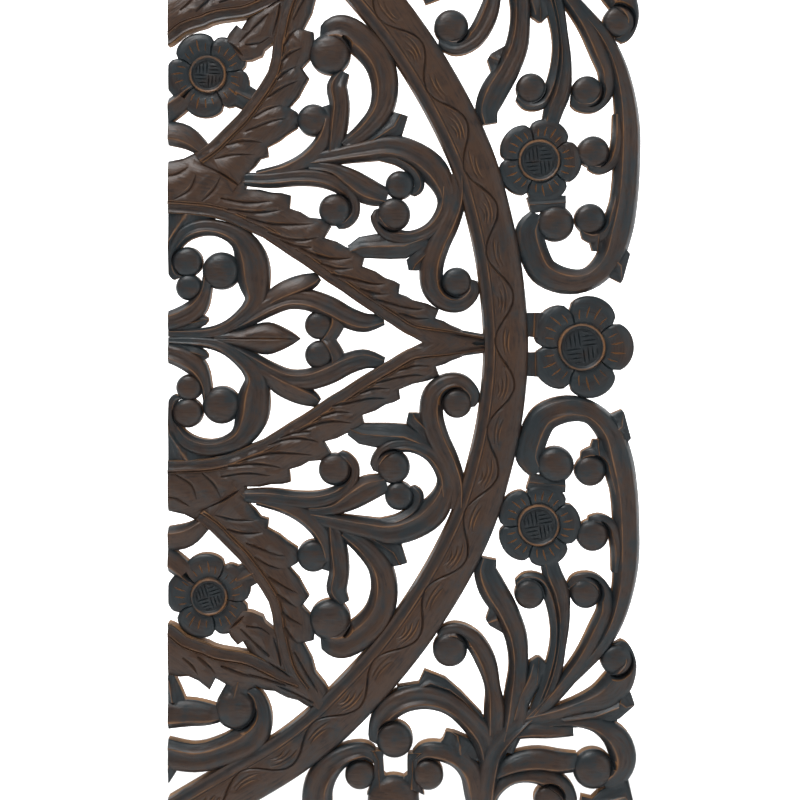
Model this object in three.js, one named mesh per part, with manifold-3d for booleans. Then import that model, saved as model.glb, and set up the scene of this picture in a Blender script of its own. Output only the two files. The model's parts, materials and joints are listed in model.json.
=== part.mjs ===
// Carved wall panel: a board cut through and carved on its front with a half-medallion ring,
// toothed leaf arms, scrolls with ball ends, flowers and a plume of scrolls.
// Millimetres, +X right, +Z up. The back lies in the plane Y = 0 and the carving faces -Y.
// The origin is on the back, in the middle of the ring band at mid-height.
import * as THREE from 'three';
import { mergeVertices } from 'three/addons/utils/BufferGeometryUtils.js';
import Module from 'manifold-3d';

const THICKNESS = 20;     // board thickness, from the back to the highest carving
const LEFT_CUT = -292;    // straight sawn left edge
const BOTTOM_CUT = -398;  // straight sawn bottom end
const TOP_CUT = 415;      // straight sawn top end

// The upper half mirrors the lower one, drawn out a little by hand. Its points move right (lean)
// and up (lift) by these sums of 1, x, h, x * h, h * h and x * x, where x is the distance to the
// right and h the height, both in decimetres.
const UPPER_LEAN = [-1.1, -0.9, 1.5, 0.6, -0.2, -0.2];
const UPPER_LIFT = [5.2, -4.5, 0.7, 0.4, 1.0, -0.1];

const FACET = 2.6;            // how far a facet may stand off a scroll's true curve

// Each profile runs across a strip: [share of its width, share of the board thickness].
const SCROLL = [[0, 0.62], [0.32, 1], [1, 0.62]];
const LEAF = [[0, 0.62], [1, 0.62]];
const FLEUR = [[0, 0.62], [0.5, 0.92], [1, 0.62]];
const ARM = [[0, 0.62], [0.18, 1], [1, 0.62]];
const RING = [[0, 0.62], [0.14, 0.95], [1, 0.62]];

// Scrolls of the lower half. A station is [x, z, width] on the scroll's middle line.
const SCROLLS = {
  cornerScroll: [[-300, 6, 5], [-250, 2, 11], [-231, -9, 13], [-217, -25, 19], [-218, -45, 29],
    [-220.2, -61, 28.6], [-229.3, -78, 20.5], [-246, -86, 15], [-262, -87, 15], [-277, -81, 14],
    [-287, -68, 10], [-290, -53, 7], [-287, -45, 7], [-281, -42, 6]],
  cornerStem: [[-300, -3, 15], [-280, -9, 19], [-267, -18, 18], [-260, -31, 11], [-258, -46, 8]],
  fleurArm: [[-240, 0, 8], [-222, -11, 15], [-205, -21, 17], [-188, -28, 18], [-170, -28, 19],
    [-152, -22, 20], [-137, -14.5, 19], [-122, -10.5, 17], [-105, -14, 10]],
  fleurCup: [[-150, -22, 8], [-146, -10, 14], [-150, 0, 13], [-157, 9, 12]],
  fleurTail: [[-214, -20, 8], [-195, -33, 17], [-180, -40, 18], [-168, -45, 14], [-162, -49, 8]],
  upperStrand: [[-230, -129, 10], [-205, -129.5, 14], [-180, -132.5, 15], [-160, -132, 15],
    [-143, -126, 14], [-133, -115, 12], [-131.5, -103, 9], [-138, -95, 8], [-148, -92, 5]],
  lowerStrand: [[-215, -132, 10], [-190, -138, 14], [-172, -148, 15], [-159, -163, 14],
    [-153, -181, 12], [-157, -193, 8]],
  middleStrand: [[-170, -142, 10], [-150, -140, 12], [-135, -132, 20], [-120, -123, 23],
    [-103, -118, 16]],
  trunk: [[-175, -146, 10], [-150, -151, 14], [-125, -156, 18], [-100, -160, 23],
    [-80, -155, 24], [-63, -143, 25], [-52, -124, 18], [-51, -105, 15]],
  innerHook: [[-110, -153, 8], [-92, -149, 9], [-79, -140, 10], [-75, -129, 9], [-81, -120, 6]],
  outerHook: [[-50, -130, 16], [-53, -108, 16], [-65, -92, 14], [-84, -85, 12],
    [-101, -88, 14], [-111, -99, 12], [-112, -109, 9]],
  armScroll: [[-42, -140, 16], [-42, -118, 15], [-49, -98, 18], [-58, -80, 20], [-64, -60, 21],
    [-62, -42, 20], [-51, -32, 18], [-38, -31, 15], [-28, -41, 12], [-29, -53, 9]],
  longBlade: [[-150, -152, 10], [-146, -175, 18], [-144, -195, 18], [-146, -210, 18],
    [-140, -222, 10]],
  roundScroll: [[-140, -160, 12], [-123, -173, 17], [-109, -190, 21], [-105, -210, 24],
    [-110, -231, 26], [-124, -247, 27], [-143, -257, 26], [-162, -252, 12]],
  edgeStem: [[-300, -167, 20], [-278, -164, 21], [-266, -157, 16], [-256, -147, 10]],
  edgeLink: [[-300, -177, 18], [-278, -194, 17], [-268, -205, 10]],
  cornerHook: [[-300, -351, 26], [-268, -356, 25], [-243, -350, 26], [-220, -338, 29],
    [-211, -319, 18], [-215, -303, 12], [-224, -295, 8]],
  cornerStub: [[-300, -319, 25], [-275, -317, 24], [-258, -318, 20], [-244, -318, 12]],
  footHook: [[-163, -405, 26], [-162, -381, 26], [-152, -363, 22], [-138, -353, 18],
    [-122, -350, 15], [-111, -357, 10]],
  leftHook: [[-14, -365, 14], [-18, -340, 22], [-32, -322, 20], [-48, -309, 20],
    [-68, -303, 22], [-88, -306, 22], [-104, -317, 20], [-113, -332, 12], [-113, -345, 8]],
  lowHook: [[-23, -405, 18], [-25, -385, 22], [-30, -368, 20], [-40, -357, 18], [-54, -351, 17],
    [-69, -350, 15], [-80, -358, 10]],
  highHook: [[-10, -345, 16], [-9, -315, 19], [-11, -295, 14], [-17, -272, 18],
    [-29, -253, 17], [-44, -246, 15], [-60, -251, 11]],
  tallBlade: [[0, -350, 14], [7, -325, 22], [10, -300, 21], [11.5, -275, 17], [9, -250, 20],
    [0, -228, 22], [-12, -208, 24], [-17, -194, 20], [-15, -183, 15]],
  crownLeaf: [[8, -330, 10], [16, -303, 14], [24, -287, 16], [28, -273, 12]],
  budHook: [[24, -318, 8], [38, -280, 9], [43, -255, 8], [42.5, -235, 9], [38, -215, 11],
    [30, -202, 10], [18, -200, 9], [8, -207, 6]],
  flowerStem: [[28, -322, 8], [43, -285, 10], [48, -260, 9], [50, -235, 12], [47, -212, 17],
    [41, -197, 17], [37, -182, 14]],
  innerPlume: [[25, -322, 10], [52, -290, 14], [68, -268, 15], [80, -245, 16], [87, -228, 15],
    [85, -211, 13], [75, -201, 11], [62, -201, 9], [54, -208, 6]],
  plume: [[20, -322, 10], [42, -300, 11], [64, -280, 11], [83, -259, 13], [94.6, -238, 15],
    [101.8, -212, 18.6], [105, -185, 21.8], [105, -155, 22.8], [103, -125, 23.8],
    [98, -98, 25.8], [90, -73, 22.6], [74, -57, 20], [55, -53.5, 23], [34, -61, 25],
    [25, -77, 25], [21, -95, 24], [28, -109, 14]],
  plumeCurl: [[99, -130, 12], [95, -112, 15], [89, -97, 12], [77, -91, 10], [64, -95, 6]],
  plumeBud: [[98, -195, 12], [98, -172, 14], [93, -157, 12], [82, -149, 9], [70, -151, 7]],
  sideCurl: [[15, -324, 8], [45, -317, 13], [66, -310, 16], [87, -302, 26], [100, -287, 25],
    [107, -273, 13], [103, -260, 9], [94, -255, 5]],
  lowCurl: [[20, -328, 8], [60, -324, 10], [81, -328, 15], [96.5, -340, 23], [102, -356, 23],
    [98, -370, 19], [84, -381, 10]],
  sprig: [[0, -336, 10], [20, -332, 14], [38, -332, 14], [59, -332, 10]],
  footBlade: [[-14, -372, 12], [8, -361, 19], [28, -358, 21], [45, -360, 20], [62, -360, 16]],
  footCurl: [[-18, -410, 10], [-9, -385, 11], [6, -373, 12], [25, -371, 14], [43, -377, 18],
    [53, -388, 17], [54, -405, 15]],
  plumeRoot: [[-18, -410, 16], [-15, -375, 20], [-9, -350, 20], [6, -332, 18], [28, -315, 10]],
};

// Leaves, thorns and links of the lower half. A station is [x, z] on one edge, then on the other.
const LEAVES = {
  cornerFill: [[-300, -48, -288, -54], [-300, -72, -282, -76], [-300, -100, -250, -96]],
  stemThorn: [[-294, -4, -294, 4], [-275, -10, -267, 1], [-262, -12, -260, -3],
    [-257, -9, -257, -7]],
  scrollLeaf: [[-65, -85, -50, -80], [-86, -66, -70, -58], [-84, -57, -77, -57]],
  armBlade: [[-132, -66, -137, -76], [-122, -66, -127, -84], [-100, -66, -113, -87],
    [-86, -67, -90, -88], [-62, -82, -68, -92]],
  trunkLeaf: [[-112, -158, -128, -166], [-90, -171, -104, -184], [-85, -187, -97, -190]],
  flowerLink: [[-238, -192, -228, -212], [-222, -186, -214, -204]],
  stubLeaf: [[-300, -306, -276, -308], [-300, -283, -282, -294], [-300, -282, -287, -284]],
  hookLink: [[-250, -306, -222, -306], [-240, -288, -222, -290]],
  cornerSpike: [[-300, -360, -282, -363], [-300, -378, -291, -377]],
  hookLeaf: [[-94, -294, -86, -312], [-75, -291, -75, -300], [-70, -280, -60, -300],
    [-52, -287, -44, -305], [-38, -299, -34, -312], [-20, -318, -20, -330]],
  lowHookThorn: [[-58, -344, -20, -360], [-54, -340, -25, -348], [-51.5, -333, -32, -338.5],
    [-50, -332.5, -44, -333.5]],
  leftLink: [[-124, -348, -105, -350], [-114, -358, -106, -357], [-114, -372, -105, -370],
    [-120, -388, -98, -376]],
  rightLink: [[-64, -350, -84, -352], [-76, -358, -85, -357], [-76, -372, -85, -370],
    [-70, -388, -93, -376]],
  bladeThorn: [[-12, -222, -2, -248], [-17, -236, -14, -241]],
  crownTop: [[20, -290, 34, -294], [20.5, -273, 36.5, -275], [28, -268, 30, -268.5]],
  curlThorn: [[72, -92, 90, -98], [76, -80, 84, -80]],
  petalLink: [[22, -110, 18, -123], [36, -112, 34, -124], [52, -114, 52, -126]],
  neck: [[-46, 7, -46, -9], [-17, 7, -17, -5]],
  plumeThorn: [[84, -64, 103, -86], [92, -58, 109, -79], [101, -54, 103, -57]],
  sideLink: [[17, -25, 35, -26], [17, -5, 34, -4]],
  sideFill: [[40, -316, 60, -330], [75, -310, 80, -328], [99, -298, 97, -324]],
  sideThorn: [[104, -292, 94, -323], [109, -300, 99, -322], [112, -309, 111, -311]],
  edgeFoot: [[66, -389, 64, -405], [75, -391, 74, -405], [82, -384, 82, -405],
    [106, -372, 100, -405], [111, -394, 111, -405]],
};

// Toothed leaf arms of the lower half: plain edge first, toothed edge second.
const ARMS = {
  middleArm: [[-60, 16, -10, -5], [-72, 4, -32, -5], [-82, -1, -47, -12], [-92, -6, -60, -17],
    [-100, -11, -57, -25], [-112, -18, -80, -32], [-122, -24, -92, -37], [-130, -29, -91, -45],
    [-142, -37, -104, -50], [-154, -44, -124, -59], [-161, -49, -122, -67],
    [-176, -59, -138, -75], [-188, -66, -157, -82], [-194, -70, -151, -92],
    [-202, -75, -158, -98], [-210, -80, -170, -99], [-220, -84, -187, -106],
    [-232, -89, -186, -117], [-242, -93, -203, -119], [-256, -96, -225, -121],
    [-270, -97, -222, -138], [-300, -98, -268, -150], [-304, -98, -278, -145],
    [-308, -98, -300, -140]],
  ringArm: [[-240, -112, -224, -134], [-268, -150, -212, -147], [-262, -154, -205, -149],
    [-255, -159, -206, -157], [-245, -169, -189, -168], [-239, -175, -180, -174],
    [-231, -183, -180, -187], [-227, -188, -187, -191], [-215, -204, -174, -209],
    [-211, -210, -170, -216], [-205, -220, -176, -224], [-202, -231, -168, -233],
    [-200, -247, -166, -254], [-199, -250, -175, -256], [-196, -264, -164, -282],
    [-190, -282, -152, -299], [-178, -300, -158, -316]],
  edgeArm: [[-300, -239, -300, -285], [-289, -239, -289, -284], [-275, -249, -275, -285],
    [-265, -253, -266, -289], [-258, -255, -256, -297], [-252, -258, -251, -287],
    [-245, -260, -237, -295], [-232, -262, -222, -297], [-222, -264, -216, -294],
    [-206, -271, -200, -298], [-192, -278, -180, -306], [-176, -284, -166, -313]],
  flowerLeaf: [[-186, -282, -192, -282], [-192, -264, -222, -264], [-197, -247, -228, -254],
    [-208, -238, -232, -258], [-210, -233, -238, -251], [-219, -229, -241, -245],
    [-227, -228, -236, -240]],
};

// Ball ends of the lower half: [x, z, radius].
const BALLS = [
  [-274, -35, 11.5], [-275, -57, 13], [-246, -50.2, 16.5], [-162, -9, 11.5], [-148, -106, 14],
  [-97, -104, 14.5], [-92, -129, 12.5], [-42, -48.7, 13], [43.5, -102, 16], [73.5, -107, 13.5],
  [75.5, -163, 14], [69.5, -213, 13.5], [21, -214, 13], [96, -271, 13.5], [-48, -262, 15],
  [-96, -340, 16], [-126, -370.5, 13], [-67, -370.5, 13.5], [-97, -393, 22.5], [76, -365.5, 17.5],
  [37.5, -392, 13], [-234, -314, 17.5], [-166.5, -181, 14], [-152, -236.5, 18],
];

// Flowers: [x, z, petal tip radius, notch radius, hub radius, turn in degrees].
const SIDE_FLOWER = [66, 0, 45.5, 33.5, 20.8, 0];
const FLOWERS = [[28.5, -154, 37, 29.5, 18.5, 2], [-256.5, -216, 37.5, 29.5, 16.5, 100]];

// Middle line of the ring band, from mid-height down, with its width.
const RING_LINE = [[0.5, 0, 39], [-4, -56, 39], [-13.5, -102, 39], [-28, -149, 39.5],
  [-48, -191, 40], [-73, -232, 40], [-98, -266, 40], [-131, -303, 41], [-160, -331, 41],
  [-190, -354, 41], [-232, -379, 42], [-293, -415, 42], [-310, -425, 42]];

// Leaf on the mid-line between the fleur's arms.
const FLEUR_LEAF = [[-244, 8, 4], [-232, 8, 16], [-207, 8.5, 30], [-190, 8, 17],
  [-173, 7.5, 6], [-158, 7.5, 4]];

const BEHIND = -0.2;  // pieces start this share of the thickness behind the back, and are cut there

const wasm = await Module();
wasm.setup();

// A point of the lower half moved to its twin in the upper half.
function mirrored(x, z) {
  const across = x / 100;
  const rise = -z / 100;
  const terms = [1, across, rise, across * rise, rise * rise, across * across];
  const moved = (shares) => shares.reduce((sum, share, i) => sum + share * terms[i], 0);
  return [x + moved(UPPER_LEAN), -z + moved(UPPER_LIFT)];
}

const mirrorStation = ([x, z, ...rest]) => [...mirrored(x, z), ...rest];
const mirrorEdges = ([xa, za, xb, zb]) => [...mirrored(xa, za), ...mirrored(xb, zb)];

// A closed body through sections that have the same number of points each.
// The ends are filled like the flat outline, whose points run in the sections' order.
function loft(sections, outline) {
  const count = sections[0].length;
  const index = [];
  for (let s = 0; s + 1 < sections.length; s++) {
    for (let k = 0; k < count; k++) {
      const a = s * count + k;
      const b = s * count + (k + 1) % count;
      index.push(a, b, b + count, a, b + count, a + count);
    }
  }
  const last = (sections.length - 1) * count;
  const clockwise = THREE.ShapeUtils.isClockWise(outline);
  for (const triangle of THREE.ShapeUtils.triangulateShape(outline, [])) {
    const [a, b, c] = clockwise ? triangle.toReversed() : triangle;
    index.push(c, b, a, last + a, last + b, last + c);
  }
  const geometry = new THREE.BufferGeometry().setFromPoints(sections.flat());
  geometry.setIndex(index);
  return geometry;
}

function signedVolume(geometry) {
  const corner = [new THREE.Vector3(), new THREE.Vector3(), new THREE.Vector3()];
  const { position } = geometry.attributes;
  const { index } = geometry;
  let volume = 0;
  for (let t = 0; t < index.count; t += 3) {
    corner.forEach((point, k) => point.fromBufferAttribute(position, index.getX(t + k)));
    volume += corner[0].dot(corner[1].cross(corner[2])) / 6;
  }
  return volume;
}

// A three.js geometry as a solid that can be joined and cut.
function solid(geometry) {
  const bare = geometry.clone();
  bare.deleteAttribute('normal');
  bare.deleteAttribute('uv');
  const merged = mergeVertices(bare, 1e-4);
  if (signedVolume(merged) < 0) {
    merged.index.array.reverse();
  }
  const mesh = new wasm.Mesh({
    numProp: 3,
    vertProperties: new Float32Array(merged.attributes.position.array),
    triVerts: new Uint32Array(merged.index.array),
  });
  return new wasm.Manifold(mesh);
}

// A strip between two edges, with a carved profile across it.
function strip(edges, profile) {
  const outline = [[0, BEHIND], ...profile, [1, BEHIND]].map(([share, height]) =>
    new THREE.Vector2(share, height));
  const sections = edges.map(([xa, za, xb, zb]) => outline.map((point) => new THREE.Vector3(
    xa + (xb - xa) * point.x, -point.y * THICKNESS, za + (zb - za) * point.x)));
  return solid(loft(sections, outline));
}

// Total turn of a line: positive where it bends to the left as seen from the front.
function turning(points) {
  let total = 0;
  for (let i = 1; i + 1 < points.length; i++) {
    const before = points[i].clone().sub(points[i - 1]);
    const after = points[i + 1].clone().sub(points[i]);
    total += before.x * after.y - before.y * after.x;
  }
  return total;
}

// The fewest points of a line that keep within a facet's tolerance of it.
function thinned(points) {
  const chord = new THREE.Line3(points[0], points.at(-1));
  let far = 0;
  let split = 0;
  points.forEach((point, i) => {
    const gap = chord.closestPointToPoint(point, true, new THREE.Vector3()).distanceTo(point);
    if (gap > far) {
      far = gap;
      split = i;
    }
  });
  if (far < FACET) {
    return [points[0], points.at(-1)];
  }
  return [...thinned(points.slice(0, split + 1)), ...thinned(points.slice(split)).slice(1)];
}

// A smooth band whose width changes along it. Its crest keeps to the outside of the bend.
function band(stations, profile) {
  const curve = new THREE.CatmullRomCurve3(stations.map(([x, z, w]) => new THREE.Vector3(x, z, w)));
  const points = thinned(curve.getSpacedPoints(100));
  const steps = points.length - 1;
  const line = points.map((point) => new THREE.Vector2(point.x, point.y));
  const side = turning(line) > 0 ? -1 : 1;
  const edges = points.map((point, i) => {
    const ahead = line[Math.min(i + 1, steps)].clone().sub(line[Math.max(i - 1, 0)]).normalize();
    const reach = side * point.z / 2;
    return [point.x - ahead.y * reach, point.y + ahead.x * reach,
      point.x + ahead.y * reach, point.y - ahead.x * reach];
  });
  return strip(edges, profile);
}

// A round boss with a domed face.
function ball([x, z, radius]) {
  const profile = [[0, BEHIND], [radius, BEHIND], [radius, 0.62], [0, 0.97]];
  const line = profile.map(([r, height]) => new THREE.Vector2(r, -height * THICKNESS));
  const geometry = new THREE.LatheGeometry(line, 8);
  geometry.translate(x, 0, z);
  return solid(geometry);
}

// Five petals round a raised hub ring with a sunk middle.
function flower([x, z, tip, notch, hub, turn]) {
  const perPetal = 4;
  const rounds = [[1, 0, BEHIND], [1, 0, 0.62], [0, hub, 0.95], [0, hub - 5, 0.8]];
  const count = 5 * perPetal;
  const points = [];
  for (const [outline, round, height] of rounds) {
    for (let k = 0; k < count; k++) {
      const share = k / perPetal;
      const bulge = Math.sqrt(Math.abs(Math.sin(Math.PI * share)));
      const radius = outline * (notch + (tip - notch) * bulge) + round;
      const angle = (turn + 72 * (share - 0.5)) * Math.PI / 180;
      points.push(new THREE.Vector3(
        x + radius * Math.cos(angle), -height * THICKNESS, z + radius * Math.sin(angle)));
    }
  }
  const sections = rounds.map((_, r) => points.slice(r * count, (r + 1) * count));
  return solid(loft(sections, sections[0].map((point) => new THREE.Vector2(point.x, point.z))));
}

// The flat back and the board's three straight saw cuts.
function trimmed(carving) {
  const width = 600;
  const height = TOP_CUT - BOTTOM_CUT;
  const board = new THREE.BoxGeometry(width, 2 * THICKNESS, height);
  board.translate(LEFT_CUT + width / 2, -THICKNESS, BOTTOM_CUT + height / 2);
  return carving.intersect(solid(board));
}

const pieces = [];
pieces.push(band([...RING_LINE.slice(1).reverse().map(mirrorStation), ...RING_LINE], RING));
pieces.push(band(FLEUR_LEAF, FLEUR));
pieces.push(flower(SIDE_FLOWER));

for (const stations of Object.values(SCROLLS)) {
  pieces.push(band(stations, SCROLL), band(stations.map(mirrorStation), SCROLL));
}
for (const edges of Object.values(LEAVES)) {
  pieces.push(strip(edges, LEAF), strip(edges.map(mirrorEdges), LEAF));
}
for (const edges of Object.values(ARMS)) {
  pieces.push(strip(edges, ARM), strip(edges.map(mirrorEdges), ARM));
}
for (const place of BALLS) {
  pieces.push(ball(place), ball(mirrorStation(place)));
}
for (const place of FLOWERS) {
  const [x, z, tip, notch, hub, turn] = place;
  pieces.push(flower(place), flower([...mirrored(x, z), tip, notch, hub, -turn]));
}

const carving = trimmed(pieces.reduce((joined, piece) => joined.add(piece)));
const { vertProperties, triVerts } = carving.getMesh();
const geometry = new THREE.BufferGeometry();
geometry.setAttribute('position', new THREE.BufferAttribute(vertProperties, 3));
geometry.setIndex(new THREE.BufferAttribute(triVerts, 1));

const stainedWood = new THREE.MeshStandardMaterial({
  color: 0x3c3430, roughness: 0.45, metalness: 0,
});
const panel = new THREE.Mesh(geometry, stainedWood);
panel.name = 'carved_panel';

const group = new THREE.Group();
group.add(panel);
export default group;
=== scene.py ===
"""Looks of the carved wall panel: one pierced and carved board, stained dark and rubbed through
on its ridges. Every part of the carving is swept or spun, joined, cut and trimmed to the board."""

import json
import math

import bmesh
import bpy
from bpy.props import FloatProperty, FloatVectorProperty, PointerProperty
from bpy.types import Operator, Panel, PropertyGroup
from mathutils import Matrix, Vector

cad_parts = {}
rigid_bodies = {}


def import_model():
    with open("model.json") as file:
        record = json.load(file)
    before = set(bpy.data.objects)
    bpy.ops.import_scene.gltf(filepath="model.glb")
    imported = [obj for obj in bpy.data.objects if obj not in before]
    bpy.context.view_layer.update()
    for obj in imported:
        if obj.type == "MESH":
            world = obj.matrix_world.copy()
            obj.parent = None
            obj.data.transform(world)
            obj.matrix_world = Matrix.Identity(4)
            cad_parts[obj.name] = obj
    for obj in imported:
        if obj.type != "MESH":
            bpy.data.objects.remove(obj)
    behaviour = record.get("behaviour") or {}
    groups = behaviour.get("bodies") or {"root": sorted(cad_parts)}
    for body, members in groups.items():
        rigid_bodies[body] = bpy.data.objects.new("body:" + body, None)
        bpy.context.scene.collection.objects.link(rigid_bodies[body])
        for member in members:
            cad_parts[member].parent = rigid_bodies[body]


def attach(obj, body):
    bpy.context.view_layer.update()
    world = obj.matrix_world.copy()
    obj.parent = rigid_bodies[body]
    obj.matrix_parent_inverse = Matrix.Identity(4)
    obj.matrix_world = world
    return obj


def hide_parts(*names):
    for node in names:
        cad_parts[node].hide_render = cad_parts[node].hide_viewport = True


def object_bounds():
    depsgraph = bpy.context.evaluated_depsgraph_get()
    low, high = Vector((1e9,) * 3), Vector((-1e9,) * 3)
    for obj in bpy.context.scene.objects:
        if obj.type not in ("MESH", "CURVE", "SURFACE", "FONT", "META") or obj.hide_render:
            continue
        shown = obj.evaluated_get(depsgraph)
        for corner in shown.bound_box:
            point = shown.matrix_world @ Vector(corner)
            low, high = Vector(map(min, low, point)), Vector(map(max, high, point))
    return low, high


bl_info = {
    "name": "Carved wall panel",
    "version": (1, 0, 0),
    "blender": (4, 5, 0),
    "location": "3D View > Sidebar > Carved Panel",
    "description": "Builds the carved and stained wall panel over its packed frame",
    "category": "Object",
}

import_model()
CAD_LOW, CAD_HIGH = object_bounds()

MM = 0.001
CAMERA_AWAY = 1.5  # from the back of the board
CAMERA_RISE = 0.096  # above the middle of the view
VIEW_WIDTH = 0.6922  # of the board, at its carved face
MARKS = ("wear_and_painted_light_mark", "tone_mark", "wall_mark")
# The upper half mirrors the lower one and is drawn out a little. Its points move right (lean) and
# up (lift) by these sums, in millimetres, of 1, x, h, x * h, h * h and x * x, where x is the
# distance to the right and h the height, both in decimetres. The numbers are rounded from a least
# squares fit of the lower half's outline to the upper half's. The 5.2 was then set by measure.
UPPER_LEAN = (-1.1, -0.9, 1.5, 0.6, -0.2, -0.2)
UPPER_LIFT = (5.2, -4.5, 0.7, 0.4, 1.0, -0.1)
BEHIND = -12.0  # the pieces reach this many reliefs behind the carved face and are cut at the back
FINE = 400  # points on a smooth line before it is thinned out
RING_FINE = 600  # points on the ring's line
SHORTEST_STEP = 1.2  # between two stations, however sharp the bend
THINNEST = 0.6  # width of a band where it runs out
LOWEST = 0.3  # relief of a strip where it runs out
CUT_CLEAR = 4.0  # height of a tool cut above the face it starts from
ROUND_STEPS = 36  # of a ball end or a hub

# A band's root and tip fade over these shares of its length. A tip rounds to this share of width.
ROOT_FADE = 0.25
TIP_FADE = 0.2
TIP_WIDTH = 0.12
HOOK_TIP = 0.55  # length of a hook's rounded tip, as a share of its width
THIN_BELOW = 13  # scrolls narrower than this have one ridge

# A lobe swells between teeth this far apart where the blade is this wide, by a share of their
# distance up to a limit.
LOBE_LENGTH = 13
LOBE_WIDTH = 8
LOBE_SHARE = 0.08
LOBE_LIMIT = 2.4

# Tones of the stain, from cold (0) to warm (1).
RING_TONE = 0.62
ARM_TONE = 0.7
FLEUR_TONE = 0.55
LEFT_TONE = 0.5
RIGHT_TONE = 0.4
BALL_TONE = 0.45
FLOWER_TONE = 0.36
EDGE_FLOWER_TONE = 0.28
BOARD_TONE = 0.6

# The stage in metres: how far it reaches, and its soft lights as name, place, size and power.
STAGE_REACH = 6
FLOOR_DROP = 0.25  # below the panel
BACKDROP_AWAY = 1.2  # behind the panel
LIGHTS = (("key", (-0.9, -1.3, 1.9), (1.0, 1.0), 36), ("fill", (1.7, -1.7, 0.4), (1.4, 1.4), 8),
    ("sky", (0.0, -0.2, 1.9), (2.4, 1.0), 14))

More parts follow.
